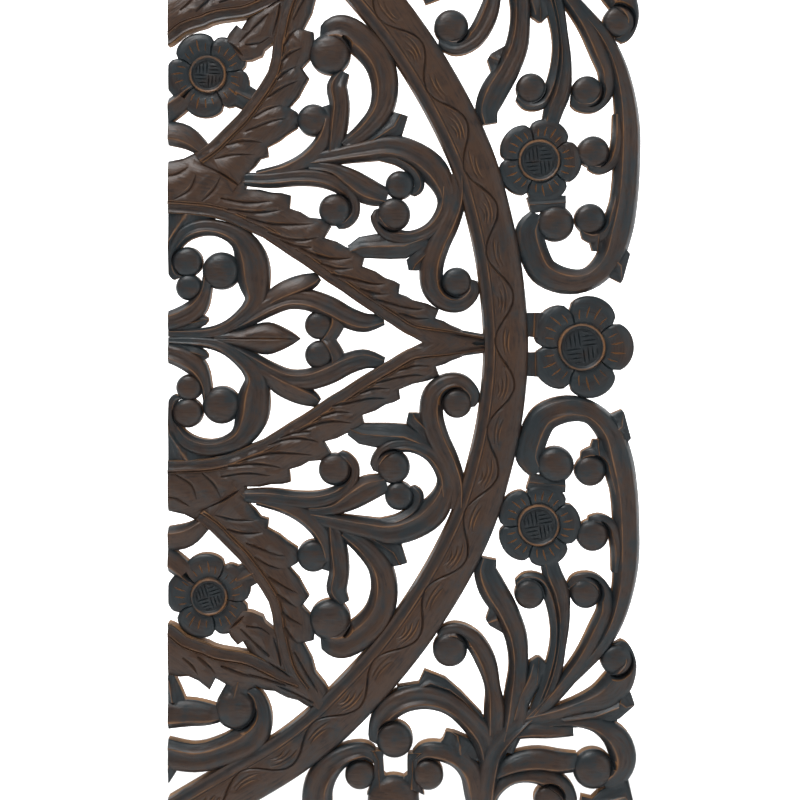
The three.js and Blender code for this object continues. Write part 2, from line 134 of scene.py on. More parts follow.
# Scrolls of the lower half. A station is [x, z, width] on the scroll's middle line.
SCROLLS = {
    "cornerScroll": [[-300, 6, 5], [-250, 2, 11], [-231, -9, 13], [-217, -25, 19], [-218, -45, 29],
        [-220.2, -61, 28.6], [-229.3, -78, 20.5], [-246, -86, 15], [-262, -87, 15], [-277, -81, 14],
        [-287, -68, 10], [-290, -53, 7], [-287, -45, 7], [-281, -42, 6]],
    "cornerStem": [[-300, -3, 15], [-280, -9, 19], [-267, -18, 18], [-260, -31, 11], [-258, -46, 8]],
    "fleurArm": [[-240, 0, 8], [-222, -11, 15], [-205, -21, 17], [-188, -28, 18], [-170, -28, 19],
        [-152, -22, 20], [-137, -14.5, 19], [-122, -10.5, 17], [-105, -14, 10]],
    "fleurCup": [[-150, -22, 8], [-146, -10, 14], [-150, 0, 13], [-157, 9, 12]],
    "fleurTail": [[-214, -20, 8], [-195, -33, 17], [-180, -40, 18], [-168, -45, 14], [-162, -49, 8]],
    "upperStrand": [[-230, -129, 10], [-205, -129.5, 14], [-180, -132.5, 15], [-160, -132, 15],
        [-143, -126, 14], [-133, -115, 12], [-131.5, -103, 9], [-138, -95, 8], [-148, -92, 5]],
    "lowerStrand": [[-215, -132, 10], [-190, -138, 14], [-172, -148, 15], [-159, -163, 14],
        [-153, -181, 12], [-157, -193, 8]],
    "middleStrand": [[-170, -142, 10], [-150, -140, 12], [-135, -132, 20], [-120, -123, 23],
        [-103, -118, 16]],
    "trunk": [[-175, -146, 10], [-150, -151, 14], [-125, -156, 18], [-100, -160, 23],
        [-80, -155, 24], [-63, -143, 25], [-52, -124, 18], [-51, -105, 15]],
    "innerHook": [[-110, -153, 8], [-92, -149, 9], [-79, -140, 10], [-75, -129, 9], [-81, -120, 6]],
    "outerHook": [[-50, -130, 16], [-53, -108, 16], [-65, -92, 14], [-84, -85, 12],
        [-101, -88, 14], [-111, -99, 12], [-112, -109, 9]],
    "armScroll": [[-42, -140, 16], [-42, -118, 15], [-49, -98, 18], [-58, -80, 20], [-64, -60, 21],
        [-62, -42, 20], [-51, -32, 18], [-38, -31, 15], [-28, -41, 12], [-29, -53, 9]],
    "longBlade": [[-150, -152, 10], [-146, -175, 18], [-144, -195, 18], [-146, -210, 18],
        [-140, -222, 10]],
    "roundScroll": [[-140, -160, 12], [-123, -173, 17], [-109, -190, 21], [-105, -210, 24],
        [-110, -231, 26], [-124, -247, 27], [-143, -257, 26], [-162, -252, 12]],
    "edgeStem": [[-300, -167, 20], [-278, -164, 21], [-266, -157, 16], [-256, -147, 10]],
    "edgeLink": [[-300, -177, 18], [-278, -194, 17], [-268, -205, 10]],
    "cornerHook": [[-300, -351, 26], [-268, -356, 25], [-243, -350, 26], [-220, -338, 29],
        [-211, -319, 18], [-215, -303, 12], [-224, -295, 8]],
    "cornerStub": [[-300, -319, 25], [-275, -317, 24], [-258, -318, 20], [-244, -318, 12]],
    "footHook": [[-163, -405, 26], [-162, -381, 26], [-152, -363, 22], [-138, -353, 18],
        [-122, -350, 15], [-111, -357, 10]],
    "leftHook": [[-14, -365, 14], [-18, -340, 22], [-32, -322, 20], [-48, -309, 20],
        [-68, -303, 22], [-88, -306, 22], [-104, -317, 20], [-113, -332, 12], [-113, -345, 8]],
    "lowHook": [[-23, -405, 18], [-25, -385, 22], [-30, -368, 20], [-40, -357, 18], [-54, -351, 17],
        [-69, -350, 15], [-80, -358, 10]],
    "highHook": [[-10, -345, 16], [-9, -315, 19], [-11, -295, 14], [-17, -272, 18],
        [-29, -253, 17], [-44, -246, 15], [-60, -251, 11]],
    "tallBlade": [[0, -350, 14], [7, -325, 22], [10, -300, 21], [11.5, -275, 17], [9, -250, 20],
        [0, -228, 22], [-12, -208, 24], [-17, -194, 20], [-15, -183, 15]],
    "crownLeaf": [[8, -330, 10], [16, -303, 14], [24, -287, 16], [28, -273, 12]],
    "budHook": [[24, -318, 8], [38, -280, 9], [43, -255, 8], [42.5, -235, 9], [38, -215, 11],
        [30, -202, 10], [18, -200, 9], [8, -207, 6]],
    "flowerStem": [[28, -322, 8], [43, -285, 10], [48, -260, 9], [50, -235, 12], [47, -212, 17],
        [41, -197, 17], [37, -182, 14]],
    "innerPlume": [[25, -322, 10], [52, -290, 14], [68, -268, 15], [80, -245, 16], [87, -228, 15],
        [85, -211, 13], [75, -201, 11], [62, -201, 9], [54, -208, 6]],
    "plume": [[20, -322, 10], [42, -300, 11], [64, -280, 11], [83, -259, 13], [94.6, -238, 15],
        [101.8, -212, 18.6], [105, -185, 21.8], [105, -155, 22.8], [103, -125, 23.8],
        [98, -98, 25.8], [90, -73, 22.6], [74, -57, 20], [55, -53.5, 23], [34, -61, 25],
        [25, -77, 25], [21, -95, 24], [28, -109, 14]],
    "plumeCurl": [[99, -130, 12], [95, -112, 15], [89, -97, 12], [77, -91, 10], [64, -95, 6]],
    "plumeBud": [[98, -195, 12], [98, -172, 14], [93, -157, 12], [82, -149, 9], [70, -151, 7]],
    "sideCurl": [[15, -324, 8], [45, -317, 13], [66, -310, 16], [87, -302, 26], [100, -287, 25],
        [107, -273, 13], [103, -260, 9], [94, -255, 5]],
    "lowCurl": [[20, -328, 8], [60, -324, 10], [81, -328, 15], [96.5, -340, 23], [102, -356, 23],
        [98, -370, 19], [84, -381, 10]],
    "sprig": [[0, -336, 10], [20, -332, 14], [38, -332, 14], [59, -332, 10]],
    "footBlade": [[-14, -372, 12], [8, -361, 19], [28, -358, 21], [45, -360, 20], [62, -360, 16]],
    "footCurl": [[-18, -410, 10], [-9, -385, 11], [6, -373, 12], [25, -371, 14], [43, -377, 18],
        [53, -388, 17], [54, -405, 15]],
    "plumeRoot": [[-18, -410, 16], [-15, -375, 20], [-9, -350, 20], [6, -332, 18], [28, -315, 10]],
}

# Leaves, thorns and links of the lower half. A station is [x, z] on one edge, then on the other.
LEAVES = {
    "cornerFill": [[-300, -48, -288, -54], [-300, -72, -282, -76], [-300, -100, -250, -96]],
    "stemThorn": [[-294, -4, -294, 4], [-275, -10, -267, 1], [-262, -12, -260, -3],
        [-257, -9, -257, -7]],
    "scrollLeaf": [[-65, -85, -50, -80], [-86, -66, -70, -58], [-84, -57, -77, -57]],
    "armBlade": [[-132, -66, -137, -76], [-122, -66, -127, -84], [-100, -66, -113, -87],
        [-86, -67, -90, -88], [-62, -82, -68, -92]],
    "trunkLeaf": [[-112, -158, -128, -166], [-90, -171, -104, -184], [-85, -187, -97, -190]],
    "flowerLink": [[-238, -192, -228, -212], [-222, -186, -214, -204]],
    "stubLeaf": [[-300, -306, -276, -308], [-300, -283, -282, -294], [-300, -282, -287, -284]],
    "hookLink": [[-250, -306, -222, -306], [-240, -288, -222, -290]],
    "cornerSpike": [[-300, -360, -282, -363], [-300, -378, -291, -377]],
    "hookLeaf": [[-94, -294, -86, -312], [-75, -291, -75, -300], [-70, -280, -60, -300],
        [-52, -287, -44, -305], [-38, -299, -34, -312], [-20, -318, -20, -330]],
    "lowHookThorn": [[-58, -344, -20, -360], [-54, -340, -25, -348], [-51.5, -333, -32, -338.5],
        [-50, -332.5, -44, -333.5]],
    "leftLink": [[-124, -348, -105, -350], [-114, -358, -106, -357], [-114, -372, -105, -370],
        [-120, -388, -98, -376]],
    "rightLink": [[-64, -350, -84, -352], [-76, -358, -85, -357], [-76, -372, -85, -370],
        [-70, -388, -93, -376]],
    "bladeThorn": [[-12, -222, -2, -248], [-17, -236, -14, -241]],
    "crownTop": [[20, -290, 34, -294], [20.5, -273, 36.5, -275], [28, -268, 30, -268.5]],
    "curlThorn": [[72, -92, 90, -98], [76, -80, 84, -80]],
    "petalLink": [[22, -110, 18, -123], [36, -112, 34, -124], [52, -114, 52, -126]],
    "plumeThorn": [[84, -64, 103, -86], [92, -58, 109, -79], [101, -54, 103, -57]],
    "sideLink": [[17, -25, 35, -26], [17, -5, 34, -4]],
    "sideFill": [[40, -316, 60, -330], [75, -310, 80, -328], [99, -298, 97, -324]],
    "sideThorn": [[104, -292, 94, -323], [109, -300, 99, -322], [112, -309, 111, -311]],
    "neck": [[-46, 7, -46, -9], [-17, 7, -17, -5]],
    "edgeFoot": [[66, -389, 64, -405], [75, -391, 74, -405], [82, -384, 82, -405],
        [106, -372, 100, -405], [111, -394, 111, -405]],
}

# Toothed leaf arms of the lower half: plain edge first, toothed edge second.
ARMS = {
    "middleArm": [[-60, 16, -10, -5], [-72, 4, -32, -5], [-82, -1, -47, -12], [-92, -6, -60, -17],
        [-100, -11, -57, -25], [-112, -18, -80, -32], [-122, -24, -92, -37], [-130, -29, -91, -45],
        [-142, -37, -104, -50], [-154, -44, -124, -59], [-161, -49, -122, -67],
        [-176, -59, -138, -75], [-188, -66, -157, -82], [-194, -70, -151, -92],
        [-202, -75, -158, -98], [-210, -80, -170, -99], [-220, -84, -187, -106],
        [-232, -89, -186, -117], [-242, -93, -203, -119], [-256, -96, -225, -121],
        [-270, -97, -222, -138], [-300, -98, -268, -150], [-304, -98, -278, -145],
        [-308, -98, -300, -140]],
    "ringArm": [[-240, -112, -224, -134], [-268, -150, -212, -147], [-262, -154, -205, -149],
        [-255, -159, -206, -157], [-245, -169, -189, -168], [-239, -175, -180, -174],
        [-231, -183, -180, -187], [-227, -188, -187, -191], [-215, -204, -174, -209],
        [-211, -210, -170, -216], [-205, -220, -176, -224], [-202, -231, -168, -233],
        [-200, -247, -166, -254], [-199, -250, -175, -256], [-196, -264, -164, -282],
        [-190, -282, -152, -299], [-178, -300, -158, -316]],
    "edgeArm": [[-300, -239, -300, -285], [-289, -239, -289, -284], [-275, -249, -275, -285],
        [-265, -253, -266, -289], [-258, -255, -256, -297], [-252, -258, -251, -287],
        [-245, -260, -237, -295], [-232, -262, -222, -297], [-222, -264, -216, -294],
        [-206, -271, -200, -298], [-192, -278, -180, -306], [-176, -284, -166, -313]],
    "flowerLeaf": [[-186, -282, -192, -282], [-192, -264, -222, -264], [-197, -247, -228, -254],
        [-208, -238, -232, -258], [-210, -233, -238, -251], [-219, -229, -241, -245],
        [-227, -228, -236, -240]],
}

# Ball ends of the lower half: [x, z, radius].
BALLS = [
  [-274, -35, 11.5], [-275, -57, 13], [-246, -50.2, 16.5], [-161.5, -6.8, 12.4], [-148, -106, 14],
  [-97, -104, 14.5], [-92, -129, 12.5], [-42, -48.7, 13], [43.5, -102, 16], [73.5, -107, 13.5],
  [75.5, -163, 14], [69.5, -213, 13.5], [21, -214, 13], [96, -271, 13.5], [-48, -262, 15],
  [-96, -340, 16], [-126, -370.5, 13], [-67, -370.5, 13.5], [-97, -393, 22.5], [76, -365.5, 17.5],
  [37.5, -392, 13], [-234, -314, 17.5], [-166.5, -181, 14], [-152, -236.5, 18],
]

# Flowers: [x, z, petal tip radius, notch radius, hub radius, turn in degrees].
SIDE_FLOWER = [66, 0, 45.5, 33.5, 20.8, 0]
FLOWERS = [[28.5, -154, 37, 29.5, 18.5, 2], [-256.5, -216, 37.5, 29.5, 16.5, 100]]

# Middle line of the ring band, from mid-height down, with its width.
RING_LINE = [[0.5, 0, 39], [-4, -56, 39], [-13.5, -102, 39], [-28, -149, 39.5],
  [-48, -191, 40], [-73, -232, 40], [-98, -266, 40], [-131, -303, 41], [-160, -331, 41],
  [-190, -354, 41], [-232, -379, 42], [-293, -415, 42], [-310, -425, 42]]

# Leaf on the mid-line between the fleur's arms.
FLEUR_LEAF = [[-252, 7.5, 9], [-232, 7.5, 15], [-207, 7.5, 28.5], [-190, 7.3, 17],
  [-177.5, 7.2, 1]]

# Heights of the faces that the tools cut into.
RING_LEVEL = 18.0
BAY_LEVEL = 17.9
VEIN_LEVEL = 16.4
HOLLOW_LEVEL = 16.0
PETAL_LEVEL = 14.5
WEAVE_LEVEL = 13.2

# The vine on the ring: its distance from the middle line, its swing, its length and its start.
# The strokes in its bays have a half length in vine lengths, and stand apart by a shift.
VINE_OFFSET = 0.5
VINE_SWING = 9
VINE_PERIOD = 77
VINE_START = 44
BAY_STROKES = ((0.17, 0.0), (0.14, 3.4), (0.1, 6.4))
BAY_BOW = 2.2
BAY_SLIP = 2  # of each stroke along the ring
BAY_END = 20  # no strokes this near the ring's ends

# A ball end's dome above its edge: [share of its radius, share of its rise, rub].
BALL_RISE = 0.27  # share of the radius
BALL_DOME = ((0.88, 0.3, 0.0), (0.76, 0.62, 0.0), (0.56, 0.86, 0.1), (0.3, 1.0, 0.15),
    (0.0, 1.04, 0.15))

# The gouge beside a ball end: where it runs, its distance from the ball, its share of that run,
# and its width and depth.
HOLLOW_REACH = 4.5
HOLLOW_GAP = 0.4
HOLLOW_SHARE = 0.68
HOLLOW_SIZE = 4.4

# A petal's rings from its back to its middle: [share of the outline, height, wear mark], the mark
# below 0 painting shade near the hub.
PETAL_RINGS = ((1.0, -2.0, 0.0), (1.0, 11.6, 0.15), (0.985, 12.6, 0.1), (0.94, 13.6, 0.0),
    (0.84, 14.5, 0.0), (0.72, 14.5, 0.0), (0.6, 14.0, 0.0), (0.5, 12.6, -0.4), (0.3, 12.4, -0.4))
PETALS = 5
PETAL_TURN = 72  # degrees
PETAL_POINTS = 14

# A hub from its back over its raised ring to its middle: [distance from the rim, height, wear mark],
# the mark below 0 painting shade inside the ring.
HUB_INSET = 1.8
HUB_LINE = ((2.0, -2, 0), (2.0, 12.8, 0.3), (1.4, 14.6, 0.6), (0.5, 15.5, 1.0),
    (-0.5, 15.2, 0.7), (-1.3, 13.6, -0.2), (-2.3, 12.4, -0.9))

# Cuts on a petal: [turn in petals, share of its length, width]. The first parts two petals.
RAYS = ((-0.5, 1.0, 2.0), (-0.31, 0.52, 1.5), (-0.11, 0.7, 1.6), (0.1, 0.62, 1.6),
    (0.3, 0.5, 1.5))
WEAVE_SIZE = 0.76  # share of the hub
WEAVE_LEAN = 8  # degrees

# Veins of the leaf arms of the lower half, as [x, z] points, and where two arms meet.
VEINS = [
    [[-285, -110], [-272, -119], [-267, -131]], [[-262, -109], [-252, -119], [-246, -130]],
    [[-293, -129], [-284, -131], [-272, -138]], [[-240, -103], [-215, -101], [-189, -105]],
    [[-246, -112], [-224, -109], [-203, -111]], [[-224, -97], [-205, -92], [-180, -92],
        [-160, -94]],
    [[-206, -85], [-190, -80], [-176, -79], [-158, -83]], [[-196, -79], [-182, -74],
        [-168, -73]],
    [[-182, -74], [-165, -67], [-148, -64], [-130, -66]], [[-160, -60], [-146, -56],
        [-132, -57]],
    [[-150, -51], [-130, -47], [-115, -44], [-98, -45]], [[-126, -40], [-114, -36], [-100, -36]],
    [[-112, -31], [-92, -26], [-76, -24], [-61, -27]], [[-92, -20], [-76, -16], [-62, -17]],
    [[-251, -145], [-236, -149], [-214, -150]], [[-241, -157], [-226, -161], [-206, -160]],
    [[-224, -169], [-208, -176], [-196, -180], [-183, -181]], [[-217, -181], [-206, -188],
        [-190, -193]],
    [[-205, -198], [-190, -208], [-176, -214]], [[-197, -213], [-189, -220], [-178, -226]],
    [[-193, -228], [-186, -235], [-176, -240]], [[-191, -241], [-184, -252], [-176, -258]],
    [[-183, -263], [-172, -283], [-162, -298]],
    [[-279, -268], [-270, -276], [-263, -290]], [[-266, -267], [-255, -277], [-247, -288]],
    [[-246, -275], [-228, -282], [-214, -286]], [[-222, -282], [-206, -287], [-190, -292]],
    [[-198, -292], [-182, -299], [-166, -307]],
    [[-229, -243], [-215, -257], [-204, -267]], [[-224, -241], [-212, -243], [-204, -248]],
]
MEETINGS = [[[-278, -147], [-256, -138], [-242, -131], [-227, -121]],
    [[-201, -250], [-197, -262], [-194, -276]], [[-241, -246], [-226, -232]],
    [[-205, -272], [-195, -279], [-186, -285]]]
# The cuts' walls are painted lighter as lit and their floors painted dark as shade; a vein's one
# wall is much lighter than the other.
VEIN_CUT = {"width": 3.2, "depth": 1.7, "wear_and_painted_light": (0.75, 0.1), "floor": -0.4}
MEETING_CUT = {"width": 3.0, "depth": 2.2, "wear_and_painted_light": 0.9}

# Scrolls with a flute along them. The others have one broad face and a crest line.
FLUTED = ("cornerScroll", "fleurArm", "middleStrand", "trunk", "outerHook", "armScroll",
    "longBlade", "roundScroll", "cornerHook", "leftHook", "footHook", "tallBlade", "plumeRoot",
    "upperStrand", "cornerStem", "flowerStem", "highHook")

# Where a leaf arm's stem starts, and the first row of its plain edge that the stem follows.
STEMS = {"middleArm": ([[-19, -0.5, 5], [-48, -4.0, 7]], 2), "ringArm": ([], 1), "edgeArm": ([], 0)}

# Shares of the pieces' rooms across and up: [across, up from edge (0) to crest (1), wear mark].
# The mark is 1 where a ridge is worn through to lighter wood, and below 0 where shade is painted
# into the grooves and hollows.
SCROLL = [(0.0, -0.25, 0.2), (0.035, 0.1, 0.1), (0.1, 0.42, 0.0), (0.2, 0.68, 0.0),
    (0.31, 0.72, 0.1), (0.42, 0.58, -0.1), (0.52, 0.5, -0.4), (0.6, 0.6, -0.2),
    (0.67, 0.86, 0.1), (0.71, 0.98, 0.5), (0.735, 1.0, 0.95), (0.76, 0.94, 0.4),
    (0.82, 0.6, -0.3), (0.9, 0.2, -0.8), (0.96, 0.0, -0.2), (1.0, -0.25, 0.2)]
PLUME = [(0.0, -0.4, 0.1), (0.15, 0.5, 0.4), (0.19, 0.62, 0.2), (0.42, 0.66, -0.1),
    (0.6, 0.74, -0.1), (0.68, 0.9, 0.3), (0.71, 0.94, 0.95), (0.74, 0.86, 0.3),
    (0.82, 0.45, -0.5), (0.92, 0.05, -0.6), (1.0, -0.25, 0.2)]
CURL = [(0.0, -0.25, 0.2), (0.05, 0.12, 0.1), (0.2, 0.46, 0.0), (0.45, 0.8, 0.0),
    (0.64, 0.97, 0.15), (0.71, 1.0, 0.5), (0.75, 0.98, 0.95), (0.79, 0.85, 0.2),
    (0.88, 0.2, -0.8), (1.0, -0.3, -0.5)]
THIN = [(0.0, -0.25, 0.2), (0.1, 0.2, 0.0), (0.3, 0.8, 0.1), (0.38, 1.0, 0.95),
    (0.46, 0.85, 0.1), (0.7, 0.35, -0.5), (0.92, 0.05, -0.2), (1.0, -0.25, 0.2)]
LEAF = [(0.0, -0.25, 0.2), (0.08, 0.0, 0.0), (0.3, 0.1, -0.4), (0.44, 0.4, 0.0),
    (0.5, 0.62, 0.95), (0.56, 0.4, 0.0), (0.7, 0.1, -0.4), (0.92, 0.0, 0.0), (1.0, -0.25, 0.2)]
FLEUR = [(0.0, -0.2, 0.2), (0.06, 0.1, 0.0), (0.25, 0.7, 0.0), (0.42, 0.9, 0.0),
    (0.47, 0.8, 0.3), (0.5, 0.55, 0.8), (0.53, 0.8, 0.3), (0.58, 0.9, 0.0), (0.75, 0.7, 0.0),
    (0.94, 0.1, 0.0), (1.0, -0.2, 0.2)]
BLADE = [(0.0, 0.3, 0.0), (0.2, 0.62, -0.3), (0.45, 0.74, 0.1), (0.75, 0.55, 0.1),
    (0.93, 0.2, 0.0), (1.0, -0.2, 0.3)]
STEM = [(0.0, -0.1, 0.2), (0.06, 0.5, 0.5), (0.12, 0.62, 0.1), (0.25, 0.5, -0.4),
    (0.5, 0.42, -0.9), (0.64, 0.56, -0.3), (0.72, 0.86, 0.3), (0.77, 0.96, 0.95),
    (0.82, 0.85, 0.1), (0.87, 0.72, -0.5), (0.92, 0.86, 0.7), (0.96, 0.8, 0.0), (1.0, 0.3, 0.0)]
RING = [(0.0, -0.15, 0.1), (0.02, 0.2, 0.0), (0.06, 0.45, -0.1), (0.14, 0.66, 0.0),
    (0.3, 0.84, 0.0), (0.5, 0.88, 0.1), (0.66, 0.84, 0.1), (0.7, 0.8, 0.3), (0.715, 0.7, 0.6),
    (0.73, 0.66, -0.8), (0.755, 0.8, 0.4), (0.77, 0.82, 0.8), (0.79, 0.74, 0.0),
    (0.84, 0.4, -0.6), (0.89, 0.3, -0.8), (0.93, 0.4, 0.0), (0.97, 0.42, 0.3), (1.0, 0.0, 0.2)]

# Hooks whose tip is rounded onto its ball: the scroll and the ball's number in the list.
HOOKS = {"upperStrand": 4, "innerHook": 6, "outerHook": 5, "armScroll": 7, "roundScroll": 23,
    "leftHook": 15, "lowHook": 17, "footHook": 16, "highHook": 14, "budHook": 12,
    "innerPlume": 11, "plumeBud": 10, "plumeCurl": 9, "plume": 8, "sideCurl": 13,
    "lowCurl": 19, "footCurl": 20, "cornerHook": 21, "cornerScroll": 1, "cornerStem": 2}


def collection(name):
    """The named collection, made if it isn't there."""
    if name not in bpy.data.collections:
        made = bpy.data.collections.new(name)
        bpy.context.scene.collection.children.link(made)
    return bpy.data.collections[name]


def mirrored(x, z):
    """A point of the lower half moved to its twin in the upper half."""
    across, rise = x / 100, -z / 100
    terms = (1, across, rise, across * rise, rise * rise, across * across)
    return (x + sum(a * b for a, b in zip(UPPER_LEAN, terms)),
        -z + sum(a * b for a, b in zip(UPPER_LIFT, terms)))


def mirror_station(station):
    """A station of the lower half moved to the upper half, its width kept."""
    return [*mirrored(station[0], station[1]), *station[2:]]


def mirror_edges(row):
    """A row of two edge points moved to the upper half."""
    return [*mirrored(row[0], row[1]), *mirrored(row[2], row[3])]


def spline(points, share):
    """A point of the centripetal Catmull-Rom curve through the points, share from 0 to 1."""
    points = [Vector(p) for p in points]
    points = [2 * points[0] - points[1], *points, 2 * points[-1] - points[-2]]
    place = min(share, 0.999999) * (len(points) - 3)
    i = int(place)
    p0, p1, p2, p3 = points[i:i + 4]
    d0, d1, d2 = (max((b - a).length ** 0.5, 1e-4) for a, b in ((p0, p1), (p1, p2), (p2, p3)))
    t1 = (p1 - p0) / d0 - (p2 - p0) / (d0 + d1) + (p2 - p1) / d1
    t2 = (p2 - p1) / d1 - (p3 - p1) / (d1 + d2) + (p3 - p2) / d2
    t1, t2, t = t1 * d1, t2 * d1, place - i
    return (p1 + t1 * t + (3 * (p2 - p1) - 2 * t1 - t2) * t * t
        + (2 * (p1 - p2) + t1 + t2) * t * t * t)


def distances(line):
    """How far along the line each of its points is."""
    far = [0.0]
    for a, b in zip(line, line[1:]):
        far.append(far[-1] + (b - a).length)
    return far


def walked(stations, sizes):
    """Stations along the smooth line, closer together where it bends: (point, ahead, length)."""
    fine = [spline(stations, k / FINE) for k in range(FINE + 1)]
    line = [p.xy for p in fine]
    kept = [0]
    run = turn = 0.0
    for k in range(1, FINE):
        run += (line[k] - line[k - 1]).length
        a, b = line[k] - line[k - 1], line[k + 1] - line[k]
        if a.length > 1e-6 and b.length > 1e-6:
            turn += abs(a.angle_signed(b))
        bent = turn > sizes.bend_step and run > SHORTEST_STEP
        if bent or run > sizes.longest_step / MM:
            kept.append(k)
            run = turn = 0.0
    if run < 1 and len(kept) > 1:
        kept.pop()
    kept.append(FINE)
    far = distances(line)
    return [(fine[k], (line[min(k + 1, FINE)] - line[max(k - 1, 0)]).normalized(), far[k])
        for k in kept]


def place(point, across, ahead, edge, relief):
    """The matrix from (share across, share up, ahead) to the panel, from millimetres to metres."""
    return Matrix.Scale(MM, 4) @ Matrix(((across.x, 0, ahead.x, point.x),
        (0, -relief, 0, -edge), (across.y, 0, ahead.y, point.y), (0, 0, 0, 1)))


LAYERS = ("wear_and_painted_light", "share", "run", "wide")


def fresh():
    """An empty mesh under work whose points remember their wear and painted light, and their place
    on the strip.
    """
    bm = bmesh.new()
    for name in LAYERS:
        bm.verts.layers.float.new(name)
    return bm, [bm.verts.layers.float[name] for name in LAYERS]


def extruded(bm, edges):
    """Extrudes a loop of edges in place: (its new vertices, its new edges)."""
    made = bmesh.ops.extrude_edge_only(bm, edges=edges)["geom"]
    verts = [v for v in made if isinstance(v, bmesh.types.BMVert)]
    new = set(verts)
    return verts, [e for e in made if isinstance(e, bmesh.types.BMEdge)
        and e.verts[0] in new and e.verts[1] in new]


def seed_of(name, share=0.013):
    """A place in the finish's noise that depends on the name alone."""
    return share * sum(map(ord, name))


def sweep(name, profile, frames, runs, tone, into="Carving", seed=0.0, closed=False):
    """A closed body: the profile drawn once, then extruded from each place to the next."""
    bm, (wear_and_painted_light, share, run, wide) = fresh()
    loop = profile if closed else [(0, BEHIND, 0), *profile, (1, BEHIND, 0)]
    verts = []
    for u, v, wear_and_light in loop:
        vert = bm.verts.new(frames[0] @ Vector((u, v, 0)))
        vert[wear_and_painted_light], vert[share], vert[run] = wear_and_light, u, runs[0]
        vert[wide] = frames[0].col[0].xyz.length
        verts.append(vert)
    edges = [bm.edges.new((verts[k - 1], verts[k])) for k in range(len(verts))]
    for before, after, far in zip(frames, frames[1:], runs[1:]):
        verts, edges = extruded(bm, edges)
        bmesh.ops.transform(bm, matrix=after @ before.inverted(), verts=verts)
        for vert in verts:
            vert[run], vert[wide] = far, after.col[0].xyz.length
    bmesh.ops.holes_fill(bm, edges=[e for e in bm.edges if e.is_boundary], sides=0)
    return shell(name, bm, tone, into, seed)


def shell(name, bm, tone, into, seed=0.0):
    """Turns the mesh under work into an object with its wear and painted light, tone and wall marks
    on corners.
    """
    bmesh.ops.triangulate(bm, faces=bm.faces[:])
    bmesh.ops.recalc_face_normals(bm, faces=bm.faces[:])
    for mark in MARKS:
        bm.loops.layers.float.new(mark)
    bm.loops.layers.uv.new("Carving")
    wear_and_painted_light_mark, tone_mark, wall_mark = (bm.loops.layers.float[mark] for mark in MARKS)
    uv = bm.loops.layers.uv["Carving"]
    wear_and_painted_light, share, run, wide = (bm.verts.layers.float[name] for name in LAYERS)
    for face in bm.faces:
        wall = 1.0 if abs(face.normal.y) < 0.2 else 0.0
        for corner in face.loops:
            vert = corner.vert
            corner[wear_and_painted_light_mark] = vert[wear_and_painted_light] * (1 - wall)
            corner[tone_mark] = tone
            corner[wall_mark] = wall
            corner[uv].uv = (vert[run] + seed, vert[share] * vert[wide] + 0.37 * seed)
    for layer in LAYERS:
        bm.verts.layers.float.remove(bm.verts.layers.float[layer])
    mesh = bpy.data.meshes.new(name)
    bm.to_mesh(mesh)
    bm.free()
    made = bpy.data.objects.new(name, mesh)
    collection(into).objects.link(made)
    return made


def outward(steps):
    """1 where the line bends so that its outside is on the left, and -1 otherwise."""
    line = [point.xy for point, _, _ in steps]
    turn = sum((b - a).cross(c - b) for a, b, c in zip(line, line[1:], line[2:]))
    return -1 if turn > 0 else 1


def band(name, stations, profile, sizes, tone, fade=(0.5, 0.3), tip_length=0.0):
    """A smooth band along stations of [x, z, width], its crest on the outside of the bend. Its
    relief fades to two shares of the whole at its root and its tip."""
    steps = walked(stations, sizes)
    side = outward(steps)
    total = steps[-1][2]
    frames = []
    for point, ahead, far in steps:
        left = Vector((-ahead.y, ahead.x)) * side
        width = max(point.z, THINNEST)
        grow = min(1, width / (sizes.full_width / MM))
        root = min(1, far / (ROOT_FADE * total))
        tip = min(1, (total - far) / (TIP_FADE * total))
        grow *= (fade[0] + (1 - fade[0]) * root) * (fade[1] + (1 - fade[1]) * tip)
        sink = sizes.tip_sink / MM * (1 - tip) ** 2 if fade[1] < 1 else 0
        inner = point.xy - left * width / 2
        if tip_length and total - far < tip_length:
            width *= max(TIP_WIDTH, math.sqrt(1 - (1 - (total - far) / tip_length) ** 2))
        frames.append(place(inner + left * width, -left * width, ahead,
            sizes.edge_height / MM - sink, max(LOWEST, grow * sizes.relief / MM)))
    return sweep(name, profile, frames, [far * MM for _, _, far in steps], tone,
        seed=seed_of(name))


def plate(name, rows, profile, sizes, tone):
    """A leaf between two edges, given as rows of [x, z] on one edge, then on the other."""
    frames, runs, far = [], [], 0.0
    before = None
    for xa, za, xb, zb in rows:
        a, b = Vector((xa, za)), Vector((xb, zb))
        across = b - a
        ahead = Vector((-across.y, across.x)).normalized()
        if before:
            far += ((a + b) / 2 - before).length
        before = (a + b) / 2
        grow = min(1, across.length / (sizes.full_width / MM))
        frames.append(place(a, across, ahead, sizes.edge_height / MM,
            max(LOWEST, grow * sizes.relief / MM)))
        runs.append(far * MM)
    return sweep(name, profile, frames, runs, tone, seed=seed_of(name, 0.017))


